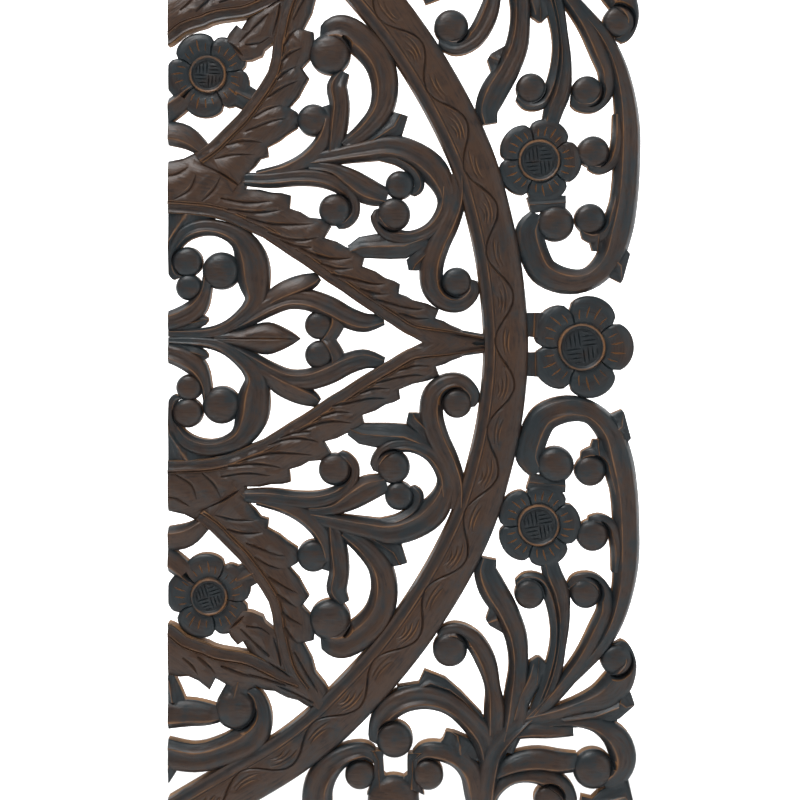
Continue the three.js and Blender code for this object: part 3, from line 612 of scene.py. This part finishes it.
def stroke(name, points, width, depth, sizes, level, tone=0.3, wear_and_painted_light=0.9, blunt=False,
        floor=-0.5):
    """A V-shaped tool cut down from a level along the points, shallow at its ends unless blunt.
    Its two walls may be marked apart, one painted lighter as a lit wall and the other left dark as a
    shaded one, and a floor below 0 paints shade at its bottom."""
    steps = walked([[*p, 0] for p in points], sizes)
    total = steps[-1][2]
    frames = []
    for point, ahead, far in steps:
        share = far / total
        bite = 1.0 if blunt else math.sin(math.pi * (0.04 + 0.92 * share)) ** 0.6
        down = depth * bite
        left = Vector((-ahead.y, ahead.x))
        broad = width / depth * (down + CUT_CLEAR)
        frames.append(place(point.xy + left * broad / 2, -left * broad, ahead,
            level - down, down + CUT_CLEAR))
    left_wear_and_light, right_wear_and_light = wear_and_painted_light if isinstance(wear_and_painted_light, tuple) else (wear_and_painted_light, wear_and_painted_light)
    reach = (depth + CUT_CLEAR) / depth
    cut = [(0.0, 1.0, left_wear_and_light * reach), (0.5, 0.0, floor), (1.0, 1.0, right_wear_and_light * reach)]
    return sweep(name, cut, frames, [far * MM for _, _, far in steps], tone, "Cuts", closed=True)


def turned(name, x, z, line, tone, seed=0.0):
    """A round body spun about its own axis from points of [radius, height, rub]."""
    bm, (wear_and_painted_light, share, run, wide) = fresh()
    verts = []
    for radius, height, wear_and_light in line:
        vert = bm.verts.new(Vector((x + radius, -height, z)) * MM)
        vert[wear_and_painted_light], vert[share], vert[run], vert[wide] = wear_and_light, 1.0, 0.0, radius * MM
        verts.append(vert)
    edges = [bm.edges.new(pair) for pair in zip(verts, verts[1:])]
    bmesh.ops.spin(bm, geom=verts + edges, cent=Vector((x, 0, z)) * MM, axis=(0, 1, 0),
        angle=math.tau, steps=ROUND_STEPS, use_merge=True)
    bmesh.ops.remove_doubles(bm, verts=bm.verts[:], dist=1e-6)
    for vert in bm.verts:
        out = vert.co - Vector((x * MM, vert.co.y, z * MM))
        vert[run], vert[wide] = out.x + 0.4 * out.z, out.z
    return shell(name, bm, tone, "Carving", seed)


def petals(name, x, z, tip, notch, turn, tone):
    """The five petals of a flower: the lobed outline, extruded and drawn in ring by ring."""
    bm, (wear_and_painted_light, share, run, wide) = fresh()
    verts = []
    for k in range(PETALS * PETAL_POINTS):
        bulge = math.sqrt(abs(math.sin(math.pi * k / PETAL_POINTS)))
        radius = notch + (tip - notch) * bulge
        angle = math.radians(turn + PETAL_TURN * (k / PETAL_POINTS - 0.5))
        vert = bm.verts.new(Vector((x + radius * math.cos(angle), -PETAL_RINGS[0][1],
            z + radius * math.sin(angle))) * MM)
        vert[share], vert[run], vert[wide] = 1.0, angle * 0.02, radius * MM
        verts.append(vert)
    edges = [bm.edges.new((verts[k - 1], verts[k])) for k in range(len(verts))]
    for (scale, height, _), (shrunk, higher, wear_and_light) in zip(PETAL_RINGS, PETAL_RINGS[1:]):
        verts, edges = extruded(bm, edges)
        ratio = shrunk / scale
        bmesh.ops.transform(bm, verts=verts,
            space=Matrix.Translation(Vector((-x, height, -z)) * MM),
            matrix=Matrix.Translation((0, (height - higher) * MM, 0))
            @ Matrix.Diagonal((ratio, 1, ratio, 1)))
        for vert in verts:
            vert[wear_and_painted_light] = wear_and_light
            vert[wide] *= ratio
    bmesh.ops.holes_fill(bm, edges=[e for e in bm.edges if e.is_boundary], sides=0)
    return shell(name, bm, tone, "Carving", 0.3)


def flower(name, x, z, tip, notch, hub, turn, sizes, tone):
    """A five-petalled flower with a raised ring, a woven middle and radial tool cuts."""
    petals(name, x, z, tip, notch, turn, tone)
    rim = hub - HUB_INSET
    # The hub's middle, below its raised ring, is painted darker as shade.
    turned(name + "Hub", x, z, [(0, -2, 0), *((rim + out, height, wear_and_light)
        for out, height, wear_and_light in HUB_LINE), (rim * 0.6, 13.0, -0.4), (0, 13.3, -0.4)], tone)
    at = Vector((x, z))
    for petal in range(PETALS):
        for share, reach, width in RAYS:
            parting = share == RAYS[0][0]
            angle = math.radians(turn + PETAL_TURN * petal + PETAL_TURN * share)
            out = Vector((math.cos(angle), math.sin(angle)))
            start = rim + 1.2
            end = notch if parting else start + (tip - start) * reach
            bend = Vector((-out.y, out.x)) * (end - start) * 0.06 * (1 if petal % 2 else -1)
            line = [at + out * start, at + out * (start + end) / 2 + bend, at + out * end]
            stroke(f"{name}Ray", line, width, 1.7 if parting else 1.2, sizes, PETAL_LEVEL, tone,
                wear_and_painted_light=0.3 if parting else 1.1, blunt=parting, floor=-0.1 if parting else 1.1)
    lean = math.radians(turn + WEAVE_LEAN)
    along = Vector((math.cos(lean), math.sin(lean)))
    over = Vector((-along.y, along.x))
    size = hub * WEAVE_SIZE
    for side, far in ((along, over), (over, -along), (-along, -over), (-over, along)):
        for k in range(4):
            across = size * (0.07 + 0.25 * k)
            reach = math.sqrt(max(size * size - across * across, 0))
            if reach < size * 0.25:
                continue
            root = at + far * across
            stroke(f"{name}Weave", [root + side * size * 0.05, root + side * reach * 0.5,
                root + side * reach], 1.8, 1.3, sizes, WEAVE_LEVEL, tone, wear_and_painted_light=0.9)


class PanelSizes(PropertyGroup):
    """Sizes that shape the carving."""

    edge_height: FloatProperty(name="Edge height", description="Height of the carving's edges",
        default=0.0128, min=0.002, unit="LENGTH", subtype="DISTANCE")
    relief: FloatProperty(name="Relief", description="Rise from an edge to the highest crest",
        default=0.0062, min=0.0005, unit="LENGTH", subtype="DISTANCE")
    full_width: FloatProperty(name="Full width", description="Width of a strip at full relief",
        default=0.019, min=0.001, unit="LENGTH", subtype="DISTANCE")
    longest_step: FloatProperty(name="Longest step", description="Distance between stations",
        default=0.005, min=0.0005, unit="LENGTH", subtype="DISTANCE")
    bend_step: FloatProperty(name="Bend step", description="Turn between two stations",
        default=math.radians(9), min=0.02, subtype="ANGLE", unit="ROTATION")
    tip_sink: FloatProperty(name="Tip sink", description="How far a scroll's tip sinks",
        default=0.0016, min=0, unit="LENGTH", subtype="DISTANCE")
    stem_width: FloatProperty(name="Stem width", description="Width of the stem on a leaf arm",
        default=0.0115, min=0.002, unit="LENGTH", subtype="DISTANCE")


class PanelColours(PropertyGroup):
    """Colours of the stained wood."""

    cold_stain: FloatVectorProperty(name="Cold stain", description="Blue-black dark stain",
        subtype="COLOR", size=3, min=0, max=1, default=(0.019, 0.026, 0.030))
    warm_stain: FloatVectorProperty(name="Warm stain", description="Brown where stain is thin",
        subtype="COLOR", size=3, min=0, max=1, default=(0.066, 0.033, 0.018))
    dark_stain_and_painted_shade: FloatVectorProperty(name="Dark stain and painted shade", description="Dark stain in patches, and painted shade in the hollows",
        subtype="COLOR", size=3, min=0, max=1, default=(0.007, 0.008, 0.010))
    worn_wood_and_highlight: FloatVectorProperty(name="Worn wood and highlight", description="Wood rubbed bare on ridges, and painted highlight on lit cut walls",
        subtype="COLOR", size=3, min=0, max=1, default=(0.22, 0.105, 0.042))
    sawn_wood: FloatVectorProperty(name="Sawn wood", description="Side walls left by the saw",
        subtype="COLOR", size=3, min=0, max=1, default=(0.26, 0.13, 0.045))
    back_wood: FloatVectorProperty(name="Back wood", description="The plain back of the board",
        subtype="COLOR", size=3, min=0, max=1, default=(0.10, 0.055, 0.030))


class CARVED_OT_ring(Operator):
    """Sweep the ring band with its rim, its line, its wavy vine and the strokes beside it"""

    bl_idname = "carved.ring"
    bl_label = "Carve ring"

    def execute(self, context):
        sizes = context.scene.carved_sizes
        upper = [mirror_station(station) for station in RING_LINE[:0:-1]]
        line = [*upper, *RING_LINE]
        band("ring", line, RING, sizes, RING_TONE, fade=(1.0, 1.0))
        fine = [spline(line, k / RING_FINE).xy for k in range(RING_FINE + 1)]
        far = distances(fine)
        middle = min(range(RING_FINE + 1), key=lambda k: abs(fine[k].y))

        def beside(k, reach):
            """A point beside the ring's middle line, on the inner side."""
            ahead = (fine[k + 1] - fine[k - 1]).normalized()
            return fine[k] + Vector((ahead.y, -ahead.x)) * reach

        vine = []
        for k in range(3, RING_FINE - 2, 3):
            phase = math.tau * (far[k] - far[middle] + VINE_START) / VINE_PERIOD
            vine.append(beside(k, VINE_OFFSET - VINE_SWING * math.cos(phase)))
        # One wall of the vine is painted light as lit and the other left dark as shaded.
        stroke("vine", vine, 2.8, 1.6, sizes, RING_LEVEL, RING_TONE, wear_and_painted_light=(0.2, 0.9),
            blunt=True)
        bays = int(far[-1] / VINE_PERIOD * 2) + 1
        for bay in range(-bays, bays):
            at = far[middle] - VINE_START + bay * VINE_PERIOD / 2
            if not BAY_END < at < far[-1] - BAY_END:
                continue
            outer = bay % 2 != 0
            side = 1 if outer else -1
            for n, (reach, shift) in enumerate(BAY_STROKES[:2] if outer else BAY_STROKES):
                half = reach * VINE_PERIOD
                points = []
                for step in (-1, -0.4, 0.3, 1):
                    there = at + step * half + n * BAY_SLIP
                    k = min(range(1, RING_FINE), key=lambda i: abs(far[i] - there))
                    bow = (1 - step * step) * BAY_BOW
                    points.append(beside(k, VINE_OFFSET
                        + side * (VINE_SWING * 0.25 - 2.0 - shift + bow)))
                # One wall of each bay stroke is painted light as lit and the other left dark as
                # shaded; its floor is painted a little dark as shade.
                stroke("bayStroke", points, 2.6, 1.1, sizes, BAY_LEVEL, RING_TONE,
                    wear_and_painted_light=(0.9, 0.2), floor=-0.1)
        return {"FINISHED"}


def lobed(rows):
    """Rows with one more between those far apart on the toothed edge, where the lobe swells."""
    out = [rows[0]]
    for a, b in zip(rows, rows[1:]):
        start, end = Vector(a[2:]), Vector(b[2:])
        along = end - start
        plain = (Vector(a[:2]) + Vector(b[:2])) / 2
        if along.length > LOBE_LENGTH and (Vector(b[:2]) - Vector(a[:2])).length > LOBE_WIDTH:
            middle = (start + end) / 2
            away = (middle - plain).normalized()
            swell = middle + away * min(LOBE_LIMIT, LOBE_SHARE * along.length)
            out.append([*plain, *swell])
        out.append(b)
    return out


class CARVED_OT_arms(Operator):
    """Model the toothed leaf arms: a blade between the two edges, a lined stem and its veins"""

    bl_idname = "carved.arms"
    bl_label = "Carve leaf arms"

    def execute(self, context):
        sizes = context.scene.carved_sizes
        for name, rows in ARMS.items():
            for upper in (False, True):
                tag = name + ("Upper" if upper else "")
                edges = [mirror_edges(row) if upper else row for row in rows]
                plate(tag, lobed(edges), BLADE, sizes, ARM_TONE)
                if name not in STEMS:
                    continue
                start, row = STEMS[name]
                a = [Vector(row[:2]) for row in edges[row:]]
                b = [Vector(row[2:]) for row in edges[row:]]
                half = sizes.stem_width / MM / 2
                stem = [mirror_station(p) if upper else p for p in start]
                for k, (p, q) in enumerate(zip(a, b)):
                    ahead = (a[min(k + 1, len(a) - 1)] - a[max(k - 1, 0)]).normalized()
                    inward = Vector((-ahead.y, ahead.x))
                    if inward.dot(q - p) < 0:
                        inward.negate()
                    stem.append([*(p + inward * half), 2 * half])
                stem_band(tag + "Stem", stem, inward, sizes)
        for kind, lines, cut in (("vein", VEINS, VEIN_CUT), ("meeting", MEETINGS, MEETING_CUT)):
            for n, line in enumerate(lines):
                for points in (line, [mirrored(*p) for p in line]):
                    stroke(f"{kind}{n}", points, sizes=sizes, level=VEIN_LEVEL, tone=ARM_TONE,
                        **cut)
        return {"FINISHED"}


def stem_band(name, stem, inward, sizes):
    """The lined stem along a leaf arm's plain edge, its rim on the outside."""
    steps = walked(stem, sizes)
    frames = []
    side = 1 if Vector((-steps[-1][1].y, steps[-1][1].x)).dot(inward) < 0 else -1
    for point, ahead, far in steps:
        out = Vector((-ahead.y, ahead.x)) * side
        frames.append(place(point.xy + out * point.z / 2, -out * point.z, ahead,
            sizes.edge_height / MM, sizes.relief / MM))
    sweep(name, STEM, frames, [far * MM for _, _, far in steps], ARM_TONE,
        seed=seed_of(name, 0.011))


def hollow(name, stations, middle, radius, sizes, tone):
    """The deep gouge beside a ball, under the crest of the scroll that comes over it. One wall is
    painted light as lit and its floor painted dark as the crest's shadow.
    """
    steps = walked(stations, sizes)
    side = outward(steps)
    arc = []
    for point, ahead, _ in steps:
        left = Vector((-ahead.y, ahead.x)) * side
        inner = point.xy - left * point.z / 2 - middle
        if inner.length < radius + HOLLOW_REACH:
            arc.append(middle + inner.normalized() * (radius + HOLLOW_GAP))
    arc = arc[:max(4, round(len(arc) * HOLLOW_SHARE))]
    if len(arc) > 3:
        stroke(name + "Hollow", arc, HOLLOW_SIZE, HOLLOW_SIZE, sizes, HOLLOW_LEVEL, tone,
            wear_and_painted_light=(1.1, 0.0) if side > 0 else (0.0, 1.1), floor=-1.0)


class CARVED_OT_scrolls(Operator):
    """Sweep every scroll, hook and curl of both halves as a ridged band, fluted where listed"""

    bl_idname = "carved.scrolls"
    bl_label = "Carve scrolls"

    def execute(self, context):
        sizes = context.scene.carved_sizes
        for name, stations in SCROLLS.items():
            profile = SCROLL if name in FLUTED else CURL
            if name == "plume":
                profile = PLUME
            elif max(s[2] for s in stations) < THIN_BELOW:
                profile = THIN
            tone = RIGHT_TONE if max(s[0] for s in stations) > 0 else LEFT_TONE
            tip = HOOK_TIP * stations[-1][2] if name in HOOKS and name != "plume" else 0.0
            for upper in (False, True):
                tag = name + ("Upper" if upper else "")
                there = [mirror_station(s) if upper else s for s in stations]
                band(tag, there, profile, sizes, tone, tip_length=tip)
                if name in HOOKS:
                    x, z, radius = BALLS[HOOKS[name]]
                    middle = mirrored(x, z) if upper else (x, z)
                    hollow(tag, there, Vector(middle), radius, sizes, tone)
        band("fleurLeaf", FLEUR_LEAF, FLEUR, sizes, FLEUR_TONE)
        return {"FINISHED"}


class CARVED_OT_leaves(Operator):
    """Model the small leaves, thorns and links of both halves as ridged plates"""

    bl_idname = "carved.leaves"
    bl_label = "Carve small leaves"

    def execute(self, context):
        sizes = context.scene.carved_sizes
        for name, rows in LEAVES.items():
            plate(name, rows, LEAF, sizes, RIGHT_TONE)
            plate(name + "Upper", [mirror_edges(row) for row in rows], LEAF, sizes, RIGHT_TONE)
        return {"FINISHED"}


class CARVED_OT_balls(Operator):
    """Spin the flattened ball ends of the scrolls"""

    bl_idname = "carved.balls"
    bl_label = "Carve ball ends"

    def execute(self, context):
        edge = context.scene.carved_sizes.edge_height / MM
        for n, (x, z, radius) in enumerate(BALLS):
            rise = BALL_RISE * radius
            line = [(0, -2, 0), (radius, -2, 0), (radius, edge - 2.4, 0.1),
                (radius * 0.96, edge - 0.6, 0.0), *((radius * out, edge + up * rise, wear_and_light)
                    for out, up, wear_and_light in BALL_DOME)]
            for px, pz in ((x, z), mirrored(x, z)):
                turned(f"ball{n}", px, pz, line, BALL_TONE, 0.05 * n)
        return {"FINISHED"}


class CARVED_OT_flowers(Operator):
    """Model the flowers: lobed petals, raised ring, woven middle and radial cuts"""

    bl_idname = "carved.flowers"
    bl_label = "Carve flowers"

    def execute(self, context):
        sizes = context.scene.carved_sizes
        flower("sideFlower", *SIDE_FLOWER, sizes, EDGE_FLOWER_TONE)
        for n, (x, z, tip, notch, hub, turn) in enumerate(FLOWERS):
            tone = EDGE_FLOWER_TONE if x > 0 else FLOWER_TONE
            flower(f"flower{n}", x, z, tip, notch, hub, turn, sizes, tone)
            flower(f"flower{n}Upper", *mirrored(x, z), tip, notch, hub, -turn, sizes, tone)
        return {"FINISHED"}


def boolean(body, kind, name):
    """Joins, cuts or trims the body with every body of a collection, and keeps the result."""
    step = body.modifiers.new(kind, "BOOLEAN")
    step.operation = kind
    step.solver = "MANIFOLD"
    step.operand_type = "COLLECTION"
    step.collection = collection(name)
    done = bpy.data.meshes.new_from_object(
        body.evaluated_get(bpy.context.evaluated_depsgraph_get()))
    body.modifiers.clear()
    old, body.data = body.data, done
    bpy.data.meshes.remove(old)
    for other in list(collection(name).objects):
        bpy.data.objects.remove(other)
    bpy.data.collections.remove(collection(name))


class CARVED_OT_panel(Operator):
    """Join the carving, make the tool cuts, trim it to the board and put its finish on"""

    bl_idname = "carved.panel"
    bl_label = "Join panel"

    def execute(self, context):
        if not collection("Carving").objects:
            raise RuntimeError("carve the pieces before joining them")
        first = collection("Carving").objects[0]
        collection("Carving").objects.unlink(first)
        context.scene.collection.objects.link(first)
        boolean(first, "UNION", "Carving")
        boolean(first, "DIFFERENCE", "Cuts")
        board(CAD_LOW, CAD_HIGH)
        boolean(first, "INTERSECT", "Board")
        first.name = first.data.name = "carved_relief"
        first.data.shade_smooth()
        first.data.set_sharp_from_angle(angle=math.radians(50))
        first.data.materials.clear()
        first.data.materials.append(stained_wood(context.scene.carved_colours))
        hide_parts("carved_panel")
        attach(first, "root")
        return {"FINISHED"}


def board(low, high):
    """The board's room: its flat back and three straight saw cuts, marked as sawn."""
    bm, (wear_and_painted_light, share, run, wide) = fresh()
    deep = high.y - low.y
    size = Vector((high.x - low.x + 0.03, 2 * deep, high.z - low.z))
    centre = Vector((low.x + size.x / 2, high.y - deep, low.z + size.z / 2))
    bmesh.ops.create_cube(bm, size=1,
        matrix=Matrix.Translation(centre) @ Matrix.Diagonal((*size, 1)))
    for vert in bm.verts:
        vert[run], vert[share], vert[wide] = vert.co.x, 1.0, vert.co.z
    made = shell("board", bm, BOARD_TONE, "Board")
    for corner in made.data.attributes["wall_mark"].data:
        corner.value = 1.0
    return made


def node(tree, kind, inputs=None, **settings):
    """Adds a node, with its settings and the values or links of its inputs."""
    made = tree.nodes.new(kind)
    for key, value in settings.items():
        setattr(made, key, value)
    for key, value in (inputs or {}).items():
        if isinstance(value, bpy.types.NodeSocket):
            tree.links.new(value, made.inputs[key])
        else:
            made.inputs[key].default_value = value
    return made


def maths(tree, operation, a, b=0.0, c=0.0, clamp=False):
    """The result of one sum on values or links."""
    return node(tree, "ShaderNodeMath", {0: a, 1: b, 2: c}, operation=operation,
        use_clamp=clamp).outputs[0]


def added(tree, value, *layers):
    """The value with each layer added by its share."""
    for layer, share in layers:
        value = maths(tree, "ADD", value, maths(tree, "MULTIPLY", layer, share))
    return value


def ramp(tree, value, low, high):
    """0 below low, 1 above high, smooth between."""
    return node(tree, "ShaderNodeMapRange", {"Value": value, "From Min": low, "From Max": high},
        interpolation_type="SMOOTHSTEP").outputs["Result"]


def mixed(tree, share, a, b):
    """Two colours mixed by a share."""
    made = node(tree, "ShaderNodeMix", {"Factor": share}, data_type="RGBA")
    for socket, value in ((made.inputs[6], a), (made.inputs[7], b)):
        if isinstance(value, bpy.types.NodeSocket):
            tree.links.new(value, socket)
        else:
            socket.default_value = value
    return made.outputs[2]


def noise(tree, coords, stretch, scale, detail=4.0, rough=0.55):
    """Noise from -0.5 to 0.5, drawn out along the axes."""
    place_at = node(tree, "ShaderNodeMapping", {"Vector": coords, "Scale": stretch})
    made = node(tree, "ShaderNodeTexNoise", {"Vector": place_at.outputs[0], "Scale": scale,
        "Detail": detail, "Roughness": rough})
    return maths(tree, "SUBTRACT", made.outputs["Fac"], 0.5)


def stain_group():
    """The node group of the finish: stain by tone, warmer the higher a face stands, painted shade in
    the hollows, rubbed ridges with painted highlights on the lit walls of cuts, sawn walls, back.
    """
    tree = bpy.data.node_groups.new("Carved stain", "ShaderNodeTree")
    for name, kind in (("Wear and painted light", "Float"), ("Tone", "Float"), ("Wall", "Float"),
            ("Strip", "Vector"), ("Place", "Vector"), ("Cold stain", "Color"),
            ("Warm stain", "Color"), ("Dark stain and painted shade", "Color"), ("Worn wood and highlight", "Color"),
            ("Sawn wood", "Color"), ("Back wood", "Color")):
        tree.interface.new_socket(name, in_out="INPUT", socket_type=f"NodeSocket{kind}")
    for name, kind in (("Colour", "Color"), ("Roughness", "Float"), ("Height", "Float")):
        tree.interface.new_socket(name, in_out="OUTPUT", socket_type=f"NodeSocket{kind}")
    given = tree.nodes.new("NodeGroupInput").outputs
    strip, at = given["Strip"], given["Place"]

    cloud = noise(tree, at, (1, 1, 1), 14.0, 3.0)
    patch = noise(tree, at, (1, 1, 1), 60.0, 4.0, 0.6)
    knife = noise(tree, strip, (0.45, 1.0, 1.0), 130.0, 2.0)
    brush = noise(tree, strip, (0.12, 1.0, 1.0), 480.0, 3.0, 0.6)
    grain = noise(tree, at, (1.0, 1.0, 0.05), 900.0, 3.0)
    speck = noise(tree, at, (1, 1, 1), 1400.0, 2.0)

    up = node(tree, "ShaderNodeSeparateXYZ", {0: at}).outputs["Y"]
    raised = maths(tree, "MULTIPLY_ADD", up, -90.0, -1.4)
    warmth = added(tree, maths(tree, "ADD", given["Tone"], raised), (cloud, 1.3), (patch, 1.8),
        (knife, 0.7), (brush, 0.9))
    stain = mixed(tree, ramp(tree, warmth, 0.05, 0.95), given["Cold stain"],
        given["Warm stain"])
    stain = mixed(tree, ramp(tree, maths(tree, "ADD", patch, brush), -0.1, 0.45), stain,
        given["Dark stain and painted shade"])
    # Painted shade: where the wear mark is below 0, in the grooves, hollows and cut floors, the
    # stain is darkened towards its darkest colour.
    painted_shade = ramp(tree, added(tree, maths(tree, "MULTIPLY", given["Wear and painted light"], -1.0),
        (patch, 0.5)), 0.0, 1.0)
    stain = mixed(tree, maths(tree, "MULTIPLY", painted_shade, 0.75), stain, given["Dark stain and painted shade"])
    # Worn wood on the ridges, and painted highlight on the lit walls of the cuts.
    fading = maths(tree, "MULTIPLY_ADD", noise(tree, at, (1, 1, 1), 34.0, 2.0), 1.6, 0.85)
    wear_and_highlight = ramp(tree, added(tree, maths(tree, "MULTIPLY", given["Wear and painted light"], fading), (patch, 1.1),
        (brush, 0.6)), 0.2, 1.15)
    front = mixed(tree, wear_and_highlight, stain, given["Worn wood and highlight"])

    scorch = ramp(tree, added(tree, patch, (speck, 0.5)), -0.4, 0.1)
    walls = mixed(tree, scorch, given["Cold stain"], given["Sawn wood"])
    skin = mixed(tree, given["Wall"], front, walls)

    behind = ramp(tree, up, -0.0006, -0.0002)
    plain = mixed(tree, ramp(tree, maths(tree, "ADD", grain, cloud), -0.35, 0.35),
        given["Back wood"], given["Warm stain"])
    skin = mixed(tree, behind, skin, plain)

    gloss = added(tree, 0.42, (brush, 0.22), (given["Wall"], 0.5), (behind, 0.25))
    rough = maths(tree, "ADD", gloss, maths(tree, "MULTIPLY", painted_shade, 0.12), clamp=True)

    bump = added(tree, maths(tree, "MULTIPLY", knife, 2.4), (brush, 0.5), (patch, 1.2),
        (grain, 0.25), (speck, 0.1))

    out = tree.nodes.new("NodeGroupOutput").inputs
    tree.links.new(skin, out["Colour"])
    tree.links.new(rough, out["Roughness"])
    tree.links.new(bump, out["Height"])
    return tree


def stained_wood(colours):
    """The panel's one finish."""
    material = bpy.data.materials.new("Stained wood")
    material.use_nodes = True
    tree = material.node_tree
    tree.nodes.clear()
    marks = [node(tree, "ShaderNodeAttribute", attribute_name=m).outputs["Fac"] for m in MARKS]
    group = node(tree, "ShaderNodeGroup", node_tree=stain_group())
    for name, socket in zip(("Wear and painted light", "Tone", "Wall"), marks):
        tree.links.new(socket, group.inputs[name])
    tree.links.new(node(tree, "ShaderNodeUVMap", uv_map="Carving").outputs[0],
        group.inputs["Strip"])
    tree.links.new(node(tree, "ShaderNodeTexCoord").outputs["Object"], group.inputs["Place"])
    for name in ("cold_stain", "warm_stain", "dark_stain_and_painted_shade", "worn_wood_and_highlight", "sawn_wood",
            "back_wood"):
        socket = group.inputs[name.replace("_", " ").capitalize()]
        socket.default_value = (*getattr(colours, name), 1)
    bump = node(tree, "ShaderNodeBump", {"Height": group.outputs["Height"], "Strength": 0.6,
        "Distance": 0.0006})
    shader = node(tree, "ShaderNodeBsdfPrincipled", {"Base Color": group.outputs["Colour"],
        "Roughness": group.outputs["Roughness"], "Normal": bump.outputs[0],
        "Specular IOR Level": 0.4, "Coat Weight": 0.08, "Coat Roughness": 0.3})
    output = node(tree, "ShaderNodeOutputMaterial")
    tree.links.new(shader.outputs[0], output.inputs[0])
    return material


def studio(name, colour, roughness, glow=0.0):
    """A plain finish for the floor or backdrop."""
    material = bpy.data.materials.new(name)
    material.use_nodes = True
    shader = material.node_tree.nodes["Principled BSDF"]
    shader.inputs["Base Color"].default_value = (*colour, 1)
    shader.inputs["Roughness"].default_value = roughness
    shader.inputs["Emission Color"].default_value = (*colour, 1)
    shader.inputs["Emission Strength"].default_value = glow
    return material


def plane(name, matrix, material):
    """A large flat stage piece."""
    bm = bmesh.new()
    bmesh.ops.create_grid(bm, x_segments=1, y_segments=1, size=1, matrix=matrix)
    mesh = bpy.data.meshes.new(name)
    bm.to_mesh(mesh)
    bm.free()
    mesh.materials.append(material)
    made = bpy.data.objects.new(name, mesh)
    bpy.context.scene.collection.objects.link(made)


def softbox(name, place_at, aim, size, power):
    """A large soft light aimed at a point."""
    light = bpy.data.lights.new(name, "AREA")
    light.shape = "RECTANGLE"
    light.size, light.size_y = size
    light.energy = power
    made = bpy.data.objects.new(name, light)
    made.location = place_at
    made.rotation_euler = (Vector(aim) - Vector(place_at)).to_track_quat("-Z", "Y").to_euler()
    bpy.context.scene.collection.objects.link(made)


class CARVED_OT_stage(Operator):
    """Set the pale floor and backdrop, the soft lights and the camera"""

    bl_idname = "carved.stage"
    bl_label = "Set stage"

    def execute(self, context):
        middle = (CAD_LOW + CAD_HIGH) / 2
        wide = Matrix.Scale(STAGE_REACH, 4)
        plane("floor", Matrix.Translation((middle.x, 0, CAD_LOW.z - FLOOR_DROP)) @ wide,
            studio("Pale floor", (0.85, 0.85, 0.85), 0.6))
        plane("backdrop", Matrix.Translation((middle.x, BACKDROP_AWAY, middle.z))
            @ Matrix.Rotation(math.pi / 2, 4, "X") @ wide,
            studio("White backdrop", (1.0, 1.0, 1.0), 0.9, 1.2))
        for name, place_at, size, power in LIGHTS:
            softbox(name, place_at, middle, size, power)
        world = context.scene.world or bpy.data.worlds.new("Studio")
        context.scene.world = world
        world.use_nodes = True
        background = world.node_tree.nodes["Background"]
        background.inputs["Color"].default_value = (0.95, 0.97, 1.0, 1)
        background.inputs["Strength"].default_value = 0.22
        lens = bpy.data.cameras.new("Camera")
        lens.sensor_width = 36.0
        lens.lens = lens.sensor_width * (CAMERA_AWAY - 0.013) / VIEW_WIDTH
        camera = bpy.data.objects.new("Camera", lens)
        aim = Vector((CAD_LOW.x + 0.2007, CAD_HIGH.y, CAD_LOW.z + 0.3523))
        lens.shift_y = -CAMERA_RISE / VIEW_WIDTH
        camera.location = Vector((aim.x, -CAMERA_AWAY, aim.z + CAMERA_RISE))
        camera.rotation_euler = (math.pi / 2, 0, 0)
        context.scene.view_settings.view_transform = "Standard"
        context.scene.collection.objects.link(camera)
        context.scene.camera = camera
        return {"FINISHED"}


class CARVED_PT_panel(Panel):
    """The sizes, the colours and the steps"""

    bl_idname = "CARVED_PT_panel"
    bl_label = "Carved Panel"
    bl_space_type = "VIEW_3D"
    bl_region_type = "UI"
    bl_category = "Carved Panel"

    def draw(self, context):
        layout = self.layout
        for group in (context.scene.carved_sizes, context.scene.carved_colours):
            for name in group.bl_rna.properties.keys():
                if name not in ("rna_type", "name"):
                    layout.prop(group, name)
        for step in STEPS:
            layout.operator(step.bl_idname)


STEPS = (CARVED_OT_ring, CARVED_OT_arms, CARVED_OT_scrolls, CARVED_OT_leaves, CARVED_OT_balls,
    CARVED_OT_flowers, CARVED_OT_panel, CARVED_OT_stage)
CLASSES = (PanelSizes, PanelColours, *STEPS, CARVED_PT_panel)


def register():
    for kind in CLASSES:
        bpy.utils.register_class(kind)
    bpy.types.Scene.carved_sizes = PointerProperty(type=PanelSizes)
    bpy.types.Scene.carved_colours = PointerProperty(type=PanelColours)


def unregister():
    del bpy.types.Scene.carved_sizes
    del bpy.types.Scene.carved_colours
    for kind in reversed(CLASSES):
        bpy.utils.unregister_class(kind)


def main():
    register()
    bpy.ops.carved.ring()
    bpy.ops.carved.arms()
    bpy.ops.carved.scrolls()
    bpy.ops.carved.leaves()
    bpy.ops.carved.balls()
    bpy.ops.carved.flowers()
    bpy.ops.carved.panel()
    bpy.ops.carved.stage()


if __name__ == "__main__":
    main()
